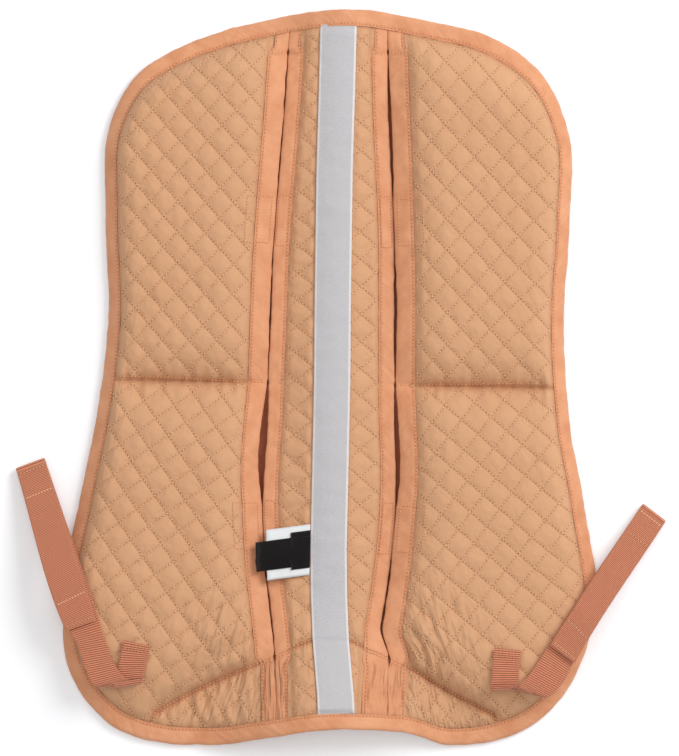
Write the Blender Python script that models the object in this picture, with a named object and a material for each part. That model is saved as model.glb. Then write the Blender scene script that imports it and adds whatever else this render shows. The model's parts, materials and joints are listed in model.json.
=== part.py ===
"""Memory foam half pad for riding, lying open and right side up.

Two quilted halves meet at a spine seam under a woven tape. Each half is a lower shell, a pocket cover and a
spine panel, with a slit between the last two, and two foam inserts inside. Bias bindings close the edges.
Two webbing straps fold back on themselves with hook-and-loop tape, and three labels hang from the spine tape.

Frame: +Y to the cantle end, +X to the right when seen from above with the cantle end up, +Z up,
standing plane Z = 0. Sizes are in metres.
"""

import math

import bmesh
import bpy
import numpy as np
from mathutils import Matrix, Vector

MM = 0.001

# Outline of one half: half width and place along the spine, from the cantle to the withers
REAR_LENGTH = 303 * MM
FRONT_LENGTH = 303 * MM
FRONT_NOTCH = 12 * MM
REAR_HALF_WIDTH = 192 * MM
WAIST_HALF_WIDTH = 187.5 * MM
FRONT_HALF_WIDTH = 220 * MM
OUTLINE = (
    (0, REAR_LENGTH),
    (62 * MM, REAR_LENGTH - 7 * MM),
    (124 * MM, REAR_LENGTH - 23 * MM),
    (166 * MM, REAR_LENGTH - 51 * MM),
    (REAR_HALF_WIDTH - 3 * MM, 205 * MM),
    (REAR_HALF_WIDTH - 1 * MM, 130 * MM),
    (WAIST_HALF_WIDTH, 45 * MM),
    (WAIST_HALF_WIDTH + 6.5 * MM, -19 * MM),
    (FRONT_HALF_WIDTH - 12 * MM, -100 * MM),
    (FRONT_HALF_WIDTH, -189 * MM),
    (FRONT_HALF_WIDTH - 13 * MM, -245 * MM),
    (FRONT_HALF_WIDTH - 50 * MM, -284 * MM),
    (107 * MM, -FRONT_LENGTH),
    (52 * MM, 6 * MM - FRONT_LENGTH),
    (0, FRONT_NOTCH - FRONT_LENGTH),
)
ORIGIN_SHIFT = -9.3 * MM  # puts the origin under the middle of the whole, because the straps reach unevenly

# Slit between the spine panel and the pocket cover: place along the spine and distance from it
SLIT = (
    (320 * MM, 39 * MM),
    (231 * MM, 43 * MM),
    (111 * MM, 50 * MM),
    (-30 * MM, 53.5 * MM),
    (-80 * MM, 56 * MM),
    (-150 * MM, 52.4 * MM),
    (-231 * MM, 42.5 * MM),
    (-320 * MM, 40 * MM),
)
SLIT_HALF_GAP = 1 * MM
REAR_BAR = 268 * MM
MIDDLE_SEAM = -6 * MM
SLIT_FRONT = -232 * MM
FRONT_SEAM_CORNER = (138.6 * MM, -275.5 * MM)
FRONT_SEAM_END = (146.5 * MM, -291.5 * MM)

# Cloth layers
GAP = 0.3 * MM
SHELL = 2.5 * MM
COVER = 3.0 * MM
SPINE_PANEL = 2.5 * MM
QUILT_DIAGONAL = 24.5 * MM
QUILT_RISE = 2.6 * MM
LAYER_ROOM = 2.0 * MM
FLAT_ENOUGH = 0.002
LEAST_EDGE = 0.01 * MM

# Bias bindings, each with the thinned cloth edges that it holds
EDGE_BINDING_WIDTH = 13.5 * MM
EDGE_BINDING_OVER = 2.1 * MM
EDGE_BINDING_UNDER = 2.1 * MM
EDGE_CLEAR = 0.7 * MM
SIDE_TILT = math.radians(42)
SLIT_BINDING_WIDTH = 13.0 * MM
SLIT_BINDING_OVER = 2.0 * MM
SLIT_BINDING_UNDER = 1.1 * MM
FOLD_ROUND = 0.9 * MM

# Foam pockets
FOAM_RISE = 20 * MM
OUTER_RAMP = 34 * MM
OUTER_ROUND = 2.2
INNER_RAMP = 45 * MM
FRONT_RAMP = 38 * MM
LIP_SHARE = 0.30
LIP_RUN = 34 * MM
SPINE_LIP = 3.0 * MM
SPINE_LIP_REACH = 32 * MM
MIDDLE_PINCH = 0.75
MIDDLE_PINCH_RUN = 17 * MM
RIM_FALL = 28 * MM
FOAM_EASE = 2.6 * MM
FOAM_LEAST = 1.0 * MM
FOAM_INSET = 10 * MM
FOAM_SLIT_INSET = 11 * MM
FOAM_MIDDLE_INSET = 9 * MM
FOAM_FRONT_INSET = 14 * MM

# Ridge over the spine
RIDGE = 12 * MM
RIDGE_HALF_WIDTH = 52 * MM
WITHERS_RISE = 30 * MM
WITHERS_RUN = 125 * MM
WITHERS_HALF_WIDTH = 115 * MM
FOLD_CLEAR = 0.5 * MM

# Spine tape and labels; a label has its length, its width, its place along the spine and its thickness
TAPE_WIDTH = 30 * MM
TAPE = 1.2 * MM
TAPE_CLEAR = 0.9 * MM
LABEL_SLANT = 0.15
LABEL_CLEAR = 0.8 * MM
LABELS = {
    "care_label": (37 * MM, 42 * MM, -143.0 * MM, 0.4 * MM),
    "size_tag": (16 * MM, 31 * MM, -142.5 * MM, 0.4 * MM),
    "woven_label": (45 * MM, 24.5 * MM, -143.5 * MM, 0.6 * MM),
}

# Slit closures
CLOSURES = {"rear": 126 * MM, "front": -127 * MM}
CLOSURE_LENGTH = 40 * MM
CLOSURE_REACH = 20 * MM
LOOP_TAB_START = 10 * MM
HOOK_PATCH = 1.2 * MM
LOOP_TAB = 1.0 * MM

# Straps. Their stations run from the sewn end to the folded tip; each has the webbing's outer and inner edge in
# millimetres, measured from the spine seam and from the withers end.
WEBBING = 1.5 * MM
STRAP_CLEAR = 0.8 * MM
CURL_RADIUS = 2.8 * MM
STRAP_TAPE = 1.0 * MM
STRAP_TAPE_WIDTH = 20 * MM
STRAP_TAPE_END = 6 * MM
STRAP_DROOP = 40 * MM
STRAP_FLOOR_CLEAR = 0.6 * MM
HINGE_LIFT = 0.2 * MM
CREASE_TURN = 8
TIP_TURN = 60
STRAPS = {
    "left": {
        "anchor": ((-166.9, 82.3), (-144.8, 78.2)),
        "crease": ((-174.0, 46.5), (-150.5, 50.5)),
        "run": (
            ((-189.3, 43.9), (-163.9, 51.0)),
            ((-197.8, 57.7), (-174.0, 63.2)),
            ((-203.9, 74.9), (-180.9, 79.5)),
        ),
        "seam": ((-212.5, 90.5), (-187.9, 100.0)),
        "tip": ((-260.1, 223.2), (-236.7, 232.4)),
    },
    "right": {
        "anchor": ((160.3, 80.4), (138.2, 82.0)),
        "crease": ((158.3, 51.5), (136.0, 50.5)),
        "run": (
            ((183.0, 42.5), (160.0, 53.5)),
            ((196.5, 56.5), (173.0, 69.0)),
        ),
        "seam": ((204.1, 71.8), (183.6, 86.7)),
        "tip": ((279.5, 190.0), (260.3, 204.1)),
    },
}

# Colour, roughness and metallic value of each finish
FINISHES = {
    "quilted cotton": ((0.70, 0.40, 0.21), 0.85, 0.0),
    "bias binding": ((0.84, 0.34, 0.18), 0.7, 0.0),
    "spine webbing": ((0.53, 0.50, 0.51), 0.75, 0.0),
    "strap webbing": ((0.65, 0.22, 0.12), 0.8, 0.0),
    "memory foam": ((0.80, 0.74, 0.55), 0.95, 0.0),
    "hook and loop": ((0.72, 0.30, 0.17), 0.9, 0.0),
    "white label": ((0.86, 0.86, 0.85), 0.6, 0.0),
    "black label": ((0.02, 0.02, 0.02), 0.7, 0.0),
}

# What follows from those sizes
HALF_SPLIT = GAP / 2
SLIT_SEAM = SLIT_HALF_GAP + SLIT_BINDING_WIDTH
EDGE_TOPSIDE = LAYER_ROOM + EDGE_BINDING_OVER
EDGE_LEVEL = EDGE_CLEAR + EDGE_BINDING_UNDER
TAB_TOP = SLIT_BINDING_UNDER + GAP + HOOK_PATCH + GAP
LABEL_STACK = sum(size[3] for size in LABELS.values()) + 2 * GAP
DENSE_STEP = 3 * MM
CLOSE_STATIONS = 13 * MM
WIDE_STATIONS = 22 * MM


def smooth(t):
    """0 below 0, 1 above 1, and an S between."""
    t = np.clip(t, 0, 1)
    return t * t * (3 - 2 * t)


def quarter_sine(t):
    return np.sin(np.clip(t, 0, 1) * math.pi / 2)


def round_shoulder(t, power):
    return 1 - (1 - np.clip(t, 0, 1)) ** power


def smooth_curve(points, step):
    """Points about `step` apart on a smooth curve through the given ones."""
    points = np.array(points, float)
    chord = np.concatenate([[0], np.cumsum(np.linalg.norm(np.diff(points, axis=0), axis=1))])
    slopes = np.gradient(points, chord, axis=0)
    at = np.linspace(0, chord[-1], int(round(chord[-1] / step)) + 1)
    i = np.clip(np.searchsorted(chord, at, side="right") - 1, 0, len(chord) - 2)
    length = (chord[i + 1] - chord[i])[:, None]
    t = ((at - chord[i]) / length[:, 0])[:, None]
    return (
        (1 + 2 * t) * (1 - t) ** 2 * points[i]
        + t * (1 - t) ** 2 * length * slopes[i]
        + t * t * (3 - 2 * t) * points[i + 1]
        + t * t * (t - 1) * length * slopes[i + 1]
    )


def evenly(path, weights):
    """Places along a path, as row numbers with a fraction, at equal steps of its length over the weights."""
    length = np.linalg.norm(np.diff(path, axis=0), axis=1) / weights[:-1]
    count = np.concatenate([[0], np.cumsum(length)])
    steps = max(2, int(round(count[-1])))
    return np.interp(np.linspace(0, count[-1], steps + 1), count, np.arange(len(path)))


def rows_at(path, at):
    """The path's rows at fractional row numbers."""
    at = np.atleast_1d(at)
    first = np.clip(at.astype(int), 0, len(path) - 2)
    share = (at - first).reshape(-1, *[1] * (path.ndim - 1))
    return path[first] * (1 - share) + path[first + 1] * share


def half_outline():
    """Dense points of the outline, cantle to withers, a little past the spine at both ends, and the inward
    direction at each."""
    before = (-OUTLINE[1][0], OUTLINE[1][1])
    after = (-OUTLINE[-2][0], OUTLINE[-2][1])
    place = smooth_curve((before, *OUTLINE, after), DENSE_STEP)
    heading = np.gradient(place, axis=0)
    heading /= np.linalg.norm(heading, axis=1)[:, None]
    return place, np.stack([heading[:, 1], -heading[:, 0]], axis=1)


EDGE, EDGE_INWARD = half_outline()
SLIT_PLACE = smooth_curve(SLIT, DENSE_STEP)


def slit_at(y):
    return np.interp(y, SLIT_PLACE[::-1, 0], SLIT_PLACE[::-1, 1])


def edge_tilt(inward):
    """How far the bound edge leans down: it lies flat at the ends and leans at the sides."""
    return SIDE_TILT * inward[..., 0] ** 2


def from_edge(x, y):
    """Distance inside the outline, and the lean of the edge nearest to each point."""
    points = np.stack([np.abs(np.ravel(x)), np.ravel(y)], axis=1)
    nearest = np.argmin(((points[:, None] - EDGE[None]) ** 2).sum(axis=2), axis=1)
    inside = ((points - EDGE[nearest]) * EDGE_INWARD[nearest]).sum(axis=1)
    return inside.reshape(np.shape(x)), edge_tilt(EDGE_INWARD[nearest]).reshape(np.shape(x))


def arch(x, y):
    """Rise of the pad over the spine, which grows and widens towards the withers."""
    rise = RIDGE + WITHERS_RISE * smooth((WITHERS_RUN - FRONT_LENGTH - y) / WITHERS_RUN)
    spread = smooth((WITHERS_RUN * 1.4 - FRONT_LENGTH - y) / (WITHERS_RUN * 1.3))
    half = RIDGE_HALF_WIDTH + (WITHERS_HALF_WIDTH - RIDGE_HALF_WIDTH) * spread
    return rise * np.cos(np.clip(np.abs(x) / half, 0, 1) * math.pi / 2) ** 2


def shell_top(x, y):
    """Top of the lower shell: flat under the foam, arched at the spine and raised to the bound edge."""
    inside, tilt = from_edge(x, y)
    seam = EDGE_BINDING_WIDTH * np.cos(tilt)
    lean = EDGE_BINDING_WIDTH * np.sin(tilt)
    at_edge = EDGE_LEVEL - SHELL
    leaning = at_edge + lean * np.clip(inside / seam, -1, 1)
    falling = (at_edge + lean) * (1 - smooth((inside - seam) / RIM_FALL))
    return SHELL + arch(x, y) + np.where(inside < seam, leaning, falling)


def shell_bottom(x, y):
    return shell_top(x, y) - SHELL


def pinned(y):
    """0 where the slit's two lips are sewn down together, 1 between."""
    ends = smooth((REAR_BAR - y) / LIP_RUN) * smooth((y - SLIT_FRONT) / LIP_RUN)
    return ends * smooth(np.abs(y - MIDDLE_SEAM) / LIP_RUN)


def front_seam():
    """The slanting front seam of a pocket, and its short straight end at the bound edge."""
    start = (float(slit_at(SLIT_FRONT)), SLIT_FRONT)
    return ((start, FRONT_SEAM_CORNER), (FRONT_SEAM_CORNER, FRONT_SEAM_END))


def behind_front_seam(x, y):
    """Distance from the front seam into the pocket, and below 0 in the band that it closes off."""
    x = np.abs(x)
    sides = []
    for (x0, y0), (x1, y1) in front_seam():
        length = math.hypot(x1 - x0, y1 - y0)
        sides.append(((x - x0) * (y0 - y1) + (y - y0) * (x1 - x0)) / length)
    return np.maximum(*sides)


def pocket(x, y):
    """Height that the foam adds under the cover."""
    inside, tilt = from_edge(x, y)
    seam = EDGE_BINDING_WIDTH * np.cos(tilt)
    past_slit = np.abs(x) - slit_at(y)
    lip = LIP_SHARE * pinned(y)
    outer = round_shoulder((inside - seam) / OUTER_RAMP, OUTER_ROUND)
    inner = lip + (1 - lip) * quarter_sine(past_slit / INNER_RAMP)
    middle = 1 - MIDDLE_PINCH * np.exp(-np.abs(y - MIDDLE_SEAM) / MIDDLE_PINCH_RUN)
    return FOAM_RISE * outer * inner * middle * quarter_sine(behind_front_seam(x, y) / FRONT_RAMP)


def cover_bottom(x, y):
    return shell_top(x, y) + LAYER_ROOM + pocket(x, y)


def panel_bottom(x, y):
    reach = (np.abs(x) - slit_at(y) + SPINE_LIP_REACH) / SPINE_LIP_REACH
    return shell_top(x, y) + LAYER_ROOM + SPINE_LIP * pinned(y) * smooth(reach)


def quilt(x, y):
    """Puff of the diamonds: 0 on the stitch lines and 1 in the middle of each diamond."""
    across = np.abs(np.sin(math.pi * (x + y) / QUILT_DIAGONAL))
    return across * np.abs(np.sin(math.pi * (x - y) / QUILT_DIAGONAL))


def cover_top(x, y):
    return cover_bottom(x, y) + COVER + QUILT_RISE * quilt(x, y)


def panel_top(x, y):
    """Top of the spine panel, whose diamonds are held flat under the tape."""
    clear_of_tape = smooth((np.abs(x) - TAPE_WIDTH / 2) / (TAPE_WIDTH / 5))
    return panel_bottom(x, y) + SPINE_PANEL + QUILT_RISE * quilt(x, y) * clear_of_tape


def pad_top(x, y):
    """The highest cloth at each point, and 0 outside the outline."""
    inside, tilt = from_edge(x, y)
    past_slit = np.abs(x) - slit_at(y)
    seam = EDGE_BINDING_WIDTH * np.cos(tilt)
    on_cover = np.where(past_slit > SLIT_SEAM, cover_top(x, y), cover_bottom(x, y) + SLIT_BINDING_OVER)
    on_panel = np.where(past_slit < -SLIT_SEAM, panel_top(x, y), panel_bottom(x, y) + SLIT_BINDING_OVER)
    quilted = np.where(past_slit > 0, on_cover, on_panel)
    return np.where(inside > seam, quilted, np.where(inside > 0, shell_top(x, y) + EDGE_TOPSIDE, 0))


def resting(x, y, reach):
    """Height at which something stiff lies on the pad, and its fall to the ground outside the outline."""
    around = [pad_top(x + i * reach, y + j * reach) for i in (-1, 0, 1) for j in (-1, 0, 1)]
    inside, _ = from_edge(x, y)
    fall = (EDGE_LEVEL + EDGE_TOPSIDE) * (1 - smooth(-inside / STRAP_DROOP)) + STRAP_FLOOR_CLEAR
    return np.maximum(np.max(around, axis=0), fall)


def taut(along, heights):
    """Heights of a band drawn over the given ones: straight from one high point to the next."""
    kept = []
    for point in zip(along, heights):
        while len(kept) > 1:
            (a, u), (b, v) = kept[-2:]
            if (v - u) * (point[0] - a) > (point[1] - u) * (b - a):
                break
            kept.pop()
        kept.append(point)
    return np.interp(along, *zip(*kept))


def new_object(name, mesh, finish):
    obj = bpy.data.objects.new(name, mesh)
    PARTS.objects.link(obj)
    mesh.materials.clear()
    mesh.materials.append(MATERIALS[finish])
    return obj


def replace_mesh(obj, mesh):
    old = obj.data
    obj.modifiers.clear()
    obj.data = mesh
    bpy.data.meshes.remove(old)


def evaluated_mesh(obj):
    graph = bpy.context.evaluated_depsgraph_get()
    graph.update()
    return bpy.data.meshes.new_from_object(obj.evaluated_get(graph))


def combine(obj, other, operation):
    """Applies a Boolean with another object, which is used up."""
    modifier = obj.modifiers.new(operation.lower(), "BOOLEAN")
    modifier.operation = operation
    modifier.solver = "EXACT"
    modifier.object = other
    replace_mesh(obj, evaluated_mesh(obj))
    used = other.data
    bpy.data.objects.remove(other)
    bpy.data.meshes.remove(used)


def prism(outline):
    """Upright cutter with the given outline."""
    curve = bpy.data.curves.new("outline", "CURVE")
    curve.dimensions = "2D"
    curve.fill_mode = "BOTH"
    curve.extrude = 2.0
    spline = curve.splines.new("POLY")
    spline.points.add(len(outline) - 1)
    for point, (x, y) in zip(spline.points, outline):
        point.co = (x, y, 0, 1)
    spline.use_cyclic_u = True
    guide = bpy.data.objects.new("outline", curve)
    CUTTERS.objects.link(guide)
    mesh = evaluated_mesh(guide)
    bpy.data.objects.remove(guide)
    bpy.data.curves.remove(curve)
    bm = bmesh.new()
    bm.from_mesh(mesh)
    bmesh.ops.remove_doubles(bm, verts=bm.verts, dist=1e-6)
    bmesh.ops.recalc_face_normals(bm, faces=bm.faces)
    bm.to_mesh(mesh)
    bm.free()
    cutter = bpy.data.objects.new("cutter", mesh)
    cutter.hide_render = True
    cutter.display_type = "WIRE"
    CUTTERS.objects.link(cutter)
    return cutter


def split_along_edge(bm, faces):
    """Splits each diamond by the diagonal along the nearest bound edge, where the cloth bends least."""
    centers = np.array([face.calc_center_median() for face in faces])
    nearest = np.argmin(((centers[:, None, :2] - EDGE[None]) ** 2).sum(axis=2), axis=1)
    near = np.abs((centers[:, :2] - EDGE[nearest])).max(axis=1) < OUTER_RAMP * 2
    lies_across = near & (np.abs(EDGE_INWARD[nearest, 1]) > np.abs(EDGE_INWARD[nearest, 0]))
    for face, across in zip(faces, lies_across):
        corners = sorted(face.verts, key=lambda v, axis=0 if across else 1: v.co[axis])
        bmesh.utils.face_split(face, corners[0], corners[-1])


def plate(name, finish, outline, low, high, quilted, creases=()):
    """A sheet of cloth between two surfaces: diamonds cut to the outline, each with a raised middle if quilted.
    A crease is a line through two points, with the width of the zone that it is cut in."""
    cell = QUILT_DIAGONAL / math.sqrt(2)
    reach = float(np.abs(outline).max()) + QUILT_DIAGONAL
    count = 2 * math.ceil(reach * math.sqrt(2) / cell)
    bm = bmesh.new()
    turned = Matrix.Rotation(math.pi / 4, 4, "Z") @ Matrix.Scale(count * cell / 2, 4)
    bmesh.ops.create_grid(bm, x_segments=count, y_segments=count, size=1, matrix=turned)
    margin = QUILT_DIAGONAL
    (left, front), (right, rear) = np.min(outline, axis=0) - margin, np.max(outline, axis=0) + margin
    far = [v for v in bm.verts if not (left < v.co.x < right and front < v.co.y < rear)]
    bmesh.ops.delete(bm, geom=far, context="VERTS")
    made = bmesh.ops.extrude_face_region(bm, geom=bm.faces[:])
    raised = [v for v in made["geom"] if isinstance(v, bmesh.types.BMVert)]
    bmesh.ops.translate(bm, verts=raised, vec=(0, 0, 1))
    bmesh.ops.recalc_face_normals(bm, faces=bm.faces)
    top = [f for f in bm.faces if f.normal.z > 0.5]
    bottom = [f for f in bm.faces if f.normal.z < -0.5]
    if quilted:
        bmesh.ops.poke(bm, faces=top)
    else:
        split_along_edge(bm, top)
    split_along_edge(bm, bottom)
    for (x0, y0), (x1, y1), zone in creases:
        middle = Vector(((x0 + x1) / 2, (y0 + y1) / 2))
        span = Vector((x1 - x0, y1 - y0)).length / 2 + zone
        faces = [f for f in bm.faces if (f.calc_center_median().xy - middle).length < span]
        edges = {e for f in faces for e in f.edges}
        verts = {v for f in faces for v in f.verts}
        square = (y1 - y0, x0 - x1, 0)
        cut = [*faces, *edges, *verts]
        bmesh.ops.bisect_plane(bm, geom=cut, dist=1e-6, plane_co=(x0, y0, 0), plane_no=square)
    mesh = bpy.data.meshes.new(name)
    bm.to_mesh(mesh)
    bm.free()
    obj = new_object(name, mesh, finish)
    combine(obj, prism(outline), "INTERSECT")
    points = np.empty(len(obj.data.vertices) * 3)
    obj.data.vertices.foreach_get("co", points)
    points = points.reshape(-1, 3)
    x, y = points[:, 0].copy(), points[:, 1].copy()
    points[:, 2] = np.where(points[:, 2] < 0.5, low(x, y), high(x, y))
    obj.data.vertices.foreach_set("co", points.ravel())
    obj.data.update()
    bm = bmesh.new()
    bm.from_mesh(obj.data)
    bmesh.ops.dissolve_limit(bm, angle_limit=FLAT_ENOUGH, verts=bm.verts, edges=bm.edges)
    bmesh.ops.triangulate(bm, faces=bm.faces)
    bmesh.ops.dissolve_degenerate(bm, dist=LEAST_EDGE, edges=bm.edges)
    bm.to_mesh(obj.data)
    bm.free()
    return obj


def slab(name, finish, low, high):
    """A solid between two grids of points of the same size."""
    bm = bmesh.new()
    bottom, top = ([[bm.verts.new(point) for point in row] for row in sheet] for sheet in (low, high))

    def strip(a, b):
        for k in range(len(a) - 1):
            bm.faces.new((a[k], a[k + 1], b[k + 1], b[k]))

    for sheet in (bottom, top):
        for a, b in zip(sheet, sheet[1:]):
            strip(a, b)
    for end in (0, -1):
        strip(bottom[end], top[end])
        strip([row[end] for row in bottom], [row[end] for row in top])
    bmesh.ops.recalc_face_normals(bm, faces=bm.faces)
    mesh = bpy.data.meshes.new(name)
    bm.to_mesh(mesh)
    bm.free()
    return new_object(name, mesh, finish)


def loft(name, finish, sections):
    """A capped solid through sections of equally many points."""
    bm = bmesh.new()
    rings = [[bm.verts.new(point) for point in section] for section in sections]
    for a, b in zip(rings, rings[1:]):
        for i in range(len(a)):
            j = (i + 1) % len(a)
            bm.faces.new((a[i], a[j], b[j], b[i]))
    bm.faces.new(rings[0])
    bm.faces.new(rings[-1])
    bmesh.ops.recalc_face_normals(bm, faces=bm.faces)
    mesh = bpy.data.meshes.new(name)
    bm.to_mesh(mesh)
    bm.free()
    return new_object(name, mesh, finish)


def with_height(plan, heights):
    return np.concatenate([plan, heights[..., None]], axis=-1)


def edge_stations():
    """Places of the bound edge's cross-sections, close together over the ridge and wider apart at the sides."""
    on_half = EDGE[:, 0] > HALF_SPLIT
    place, inward = EDGE[on_half], EDGE_INWARD[on_half]
    place = np.concatenate([[(HALF_SPLIT, OUTLINE[0][1])], place, [(HALF_SPLIT, OUTLINE[-1][1])]])
    inward = np.concatenate([[(0, -1)], inward, [(0, 1)]])
    at = evenly(place, np.where(place[:, 0] < RIDGE_HALF_WIDTH * 1.4, CLOSE_STATIONS, WIDE_STATIONS))
    inward = rows_at(inward, at)
    return rows_at(place, at), inward / np.linalg.norm(inward, axis=1)[:, None]


STATION, STATION_INWARD = edge_stations()
STATION_SHRINK = np.cos(edge_tilt(STATION_INWARD))


def rim(width, extra=0.0):
    """The outline moved in by a width of leaning cloth and by a level distance, at each station."""
    return STATION + STATION_INWARD * (width * STATION_SHRINK + extra)[:, None]


SEAM_LINE = rim(EDGE_BINDING_WIDTH, GAP)


def corners(past_slit):
    """Where the line at this distance past the slit meets the bound edge's seam, at the cantle and the withers:
    fractional station numbers and places along the spine."""
    beyond = SEAM_LINE[:, 0] - slit_at(SEAM_LINE[:, 1]) - past_slit
    cross = np.flatnonzero(np.diff(np.sign(beyond)))
    found = []
    for i in (cross[0], cross[-1]):
        at = i + beyond[i] / (beyond[i] - beyond[i + 1])
        found.append((at, float(rows_at(SEAM_LINE, at)[0, 1])))
    return found


def between(rows, start, end):
    """The rows from one fractional number to another, with rows of their own at both ends."""
    whole = np.arange(math.ceil(start + 0.05), math.floor(end - 0.05) + 1)
    return rows_at(rows, np.concatenate([[start], whole, [end]]))


def slit_shares():
    """Stations along a slit as shares of each half, closer together where its lips rise."""
    (_, rear), (_, front) = corners(0)
    halves = []
    for start, end in ((rear, MIDDLE_SEAM), (MIDDLE_SEAM, front)):
        y = np.linspace(start, end, 200)
        near = [np.abs(y - centre) < LIP_RUN * 1.2 for centre in (MIDDLE_SEAM, REAR_BAR, SLIT_FRONT)]
        path = np.stack([slit_at(y), y], axis=1)
        halves.append(evenly(path, np.where(np.any(near, axis=0), CLOSE_STATIONS, WIDE_STATIONS * 1.3)) / 199)
    return halves


SLIT_SHARES = slit_shares()


def along_slit(past_slit):
    """Plan points from the cantle to the withers at this distance past the slit."""
    (_, rear), (_, front) = corners(past_slit)
    to_middle, to_front = SLIT_SHARES
    behind = rear + (MIDDLE_SEAM - rear) * to_middle
    ahead = MIDDLE_SEAM + (front - MIDDLE_SEAM) * to_front[1:]
    y = np.concatenate([behind, ahead])
    return np.stack([slit_at(y) + past_slit, y], axis=1)


def lower_shell(name):
    outline = rim(EDGE_BINDING_WIDTH, GAP)
    outline[0, 0] = outline[-1, 0] = HALF_SPLIT
    return plate(name, "quilted cotton", outline, shell_bottom, shell_top, quilted=False)


def pocket_cover(name):
    past = SLIT_SEAM + GAP
    (rear, _), (front, _) = corners(past)
    side = along_slit(past)[1:-1]
    outline = np.concatenate([between(SEAM_LINE, rear, front), side[::-1]])
    middle = ((0, MIDDLE_SEAM), (FRONT_HALF_WIDTH, MIDDLE_SEAM), FRONT_HALF_WIDTH)
    creases = [middle, *((*line, QUILT_DIAGONAL) for line in front_seam())]
    return plate(name, "quilted cotton", outline, cover_bottom, cover_top, True, creases)


def spine_panel(name):
    past = -SLIT_SEAM - GAP
    (rear, _), (front, _) = corners(past)
    side = along_slit(past)[1:-1]
    outline = [between(SEAM_LINE, 0, rear), side, between(SEAM_LINE, front, len(STATION) - 1)]
    outline = np.concatenate(outline)
    outline[0, 0] = outline[-1, 0] = HALF_SPLIT
    return plate(name, "quilted cotton", outline, panel_bottom, panel_top, quilted=True)


def edge_binding(name):
    """Bias tape folded over the edge of the shell, the cover and the spine panel."""
    top, bottom, width = EDGE_TOPSIDE, -EDGE_BINDING_UNDER, EDGE_BINDING_WIDTH
    profile = (
        (width, 0, top),
        (0, FOLD_ROUND, top),
        (0, 0, top - FOLD_ROUND),
        (0, 0, bottom + FOLD_ROUND),
        (0, FOLD_ROUND, bottom),
        (width, 0, bottom),
    )
    lines = []
    for leaning, level, lift in profile:
        plan = rim(leaning, level)
        plan[0, 0] = plan[-1, 0] = HALF_SPLIT
        lines.append(with_height(plan, shell_top(plan[:, 0], plan[:, 1]) + lift))
    return loft(name, "bias binding", np.stack(lines, axis=1))


def slit_binding(name, side, bottom):
    """Bias tape over one lip of the slit; side is 1 for the cover's lip and -1 for the spine panel's."""
    nose, top, under = SLIT_HALF_GAP, SLIT_BINDING_OVER, -SLIT_BINDING_UNDER
    profile = (
        (SLIT_SEAM, top),
        (nose + FOLD_ROUND, top),
        (nose, top - FOLD_ROUND),
        (nose, under + FOLD_ROUND),
        (nose + FOLD_ROUND, under),
        (SLIT_SEAM, under),
    )
    lines = []
    for past, lift in profile:
        plan = along_slit(side * past)
        lines.append(with_height(plan, bottom(plan[:, 0], plan[:, 1]) + lift))
    return loft(name, "bias binding", np.stack(lines, axis=1))


def resampled(path, shares):
    """The path's points at shares of its length."""
    chord = np.concatenate([[0], np.cumsum(np.linalg.norm(np.diff(path, axis=0), axis=1))])
    return rows_at(np.asarray(path, float), np.interp(shares * chord[-1], chord, np.arange(len(path))))


def patch(inner, outer, first, last, rows):
    """Plan grid inside four border lines; inner and outer run from first to last. Its columns are closer
    together near the slit."""
    v = np.linspace(0, 1, rows)
    u = np.array([0, 0.1, 0.2, 0.4, 0.6, 0.8, 1])
    inner, outer = resampled(inner, v)[:, None], resampled(outer, v)[:, None]
    first, last = resampled(first, u)[None], resampled(last, u)[None]
    v, u = v[:, None, None], u[None, :, None]
    first_line = (1 - u) * first[:, :1] + u * first[:, -1:]
    last_line = (1 - u) * last[:, :1] + u * last[:, -1:]
    return (1 - u) * inner + u * outer + (1 - v) * (first - first_line) + v * (last - last_line)


def foam_rim():
    return rim(EDGE_BINDING_WIDTH, FOAM_INSET)


def crossing(path, values):
    """Fractional row number where the values change sign."""
    i = int(np.flatnonzero(np.diff(np.sign(values)))[-1])
    return i + values[i] / (values[i] - values[i + 1])


def foam(name, plan):
    x, y = plan[..., 0], plan[..., 1]
    over_tab = np.zeros_like(x)
    for centre in CLOSURES.values():
        near = smooth((CLOSURE_LENGTH - np.abs(y - centre)) / (CLOSURE_LENGTH / 2))
        beside = smooth((CLOSURE_REACH * 1.8 - x + slit_at(y)) / (CLOSURE_REACH / 2))
        over_tab = np.maximum(over_tab, near * beside)
    tab_room = TAB_TOP + LOOP_TAB
    low = shell_top(x, y) + FOAM_EASE
    high = np.maximum(cover_bottom(x, y) - FOAM_EASE - tab_room * over_tab, low + FOAM_LEAST)
    return slab(name, "memory foam", with_height(plan, low), with_height(plan, high))


def rear_foam(name):
    border = foam_rim()
    inner_end = MIDDLE_SEAM + FOAM_MIDDLE_INSET
    beyond = border[:, 0] - slit_at(border[:, 1]) - FOAM_SLIT_INSET
    start = np.flatnonzero(beyond > 0)[0]
    corner = int(np.argmax(border[:, 0] * (border[:, 1] > 0) * 0.7 + border[:, 1] * 0.7))
    end = crossing(border[corner:], border[corner:, 1] - inner_end) + corner
    first = border[start : corner + 1]
    outer = between(border, corner, end)
    y = np.linspace(first[0, 1], inner_end, 20)
    inner = np.stack([slit_at(y) + FOAM_SLIT_INSET, y], axis=1)
    inner[0] = first[0]
    last = np.array([inner[-1], outer[-1]])
    return foam(name, patch(inner, outer, first, last, 11))


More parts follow.
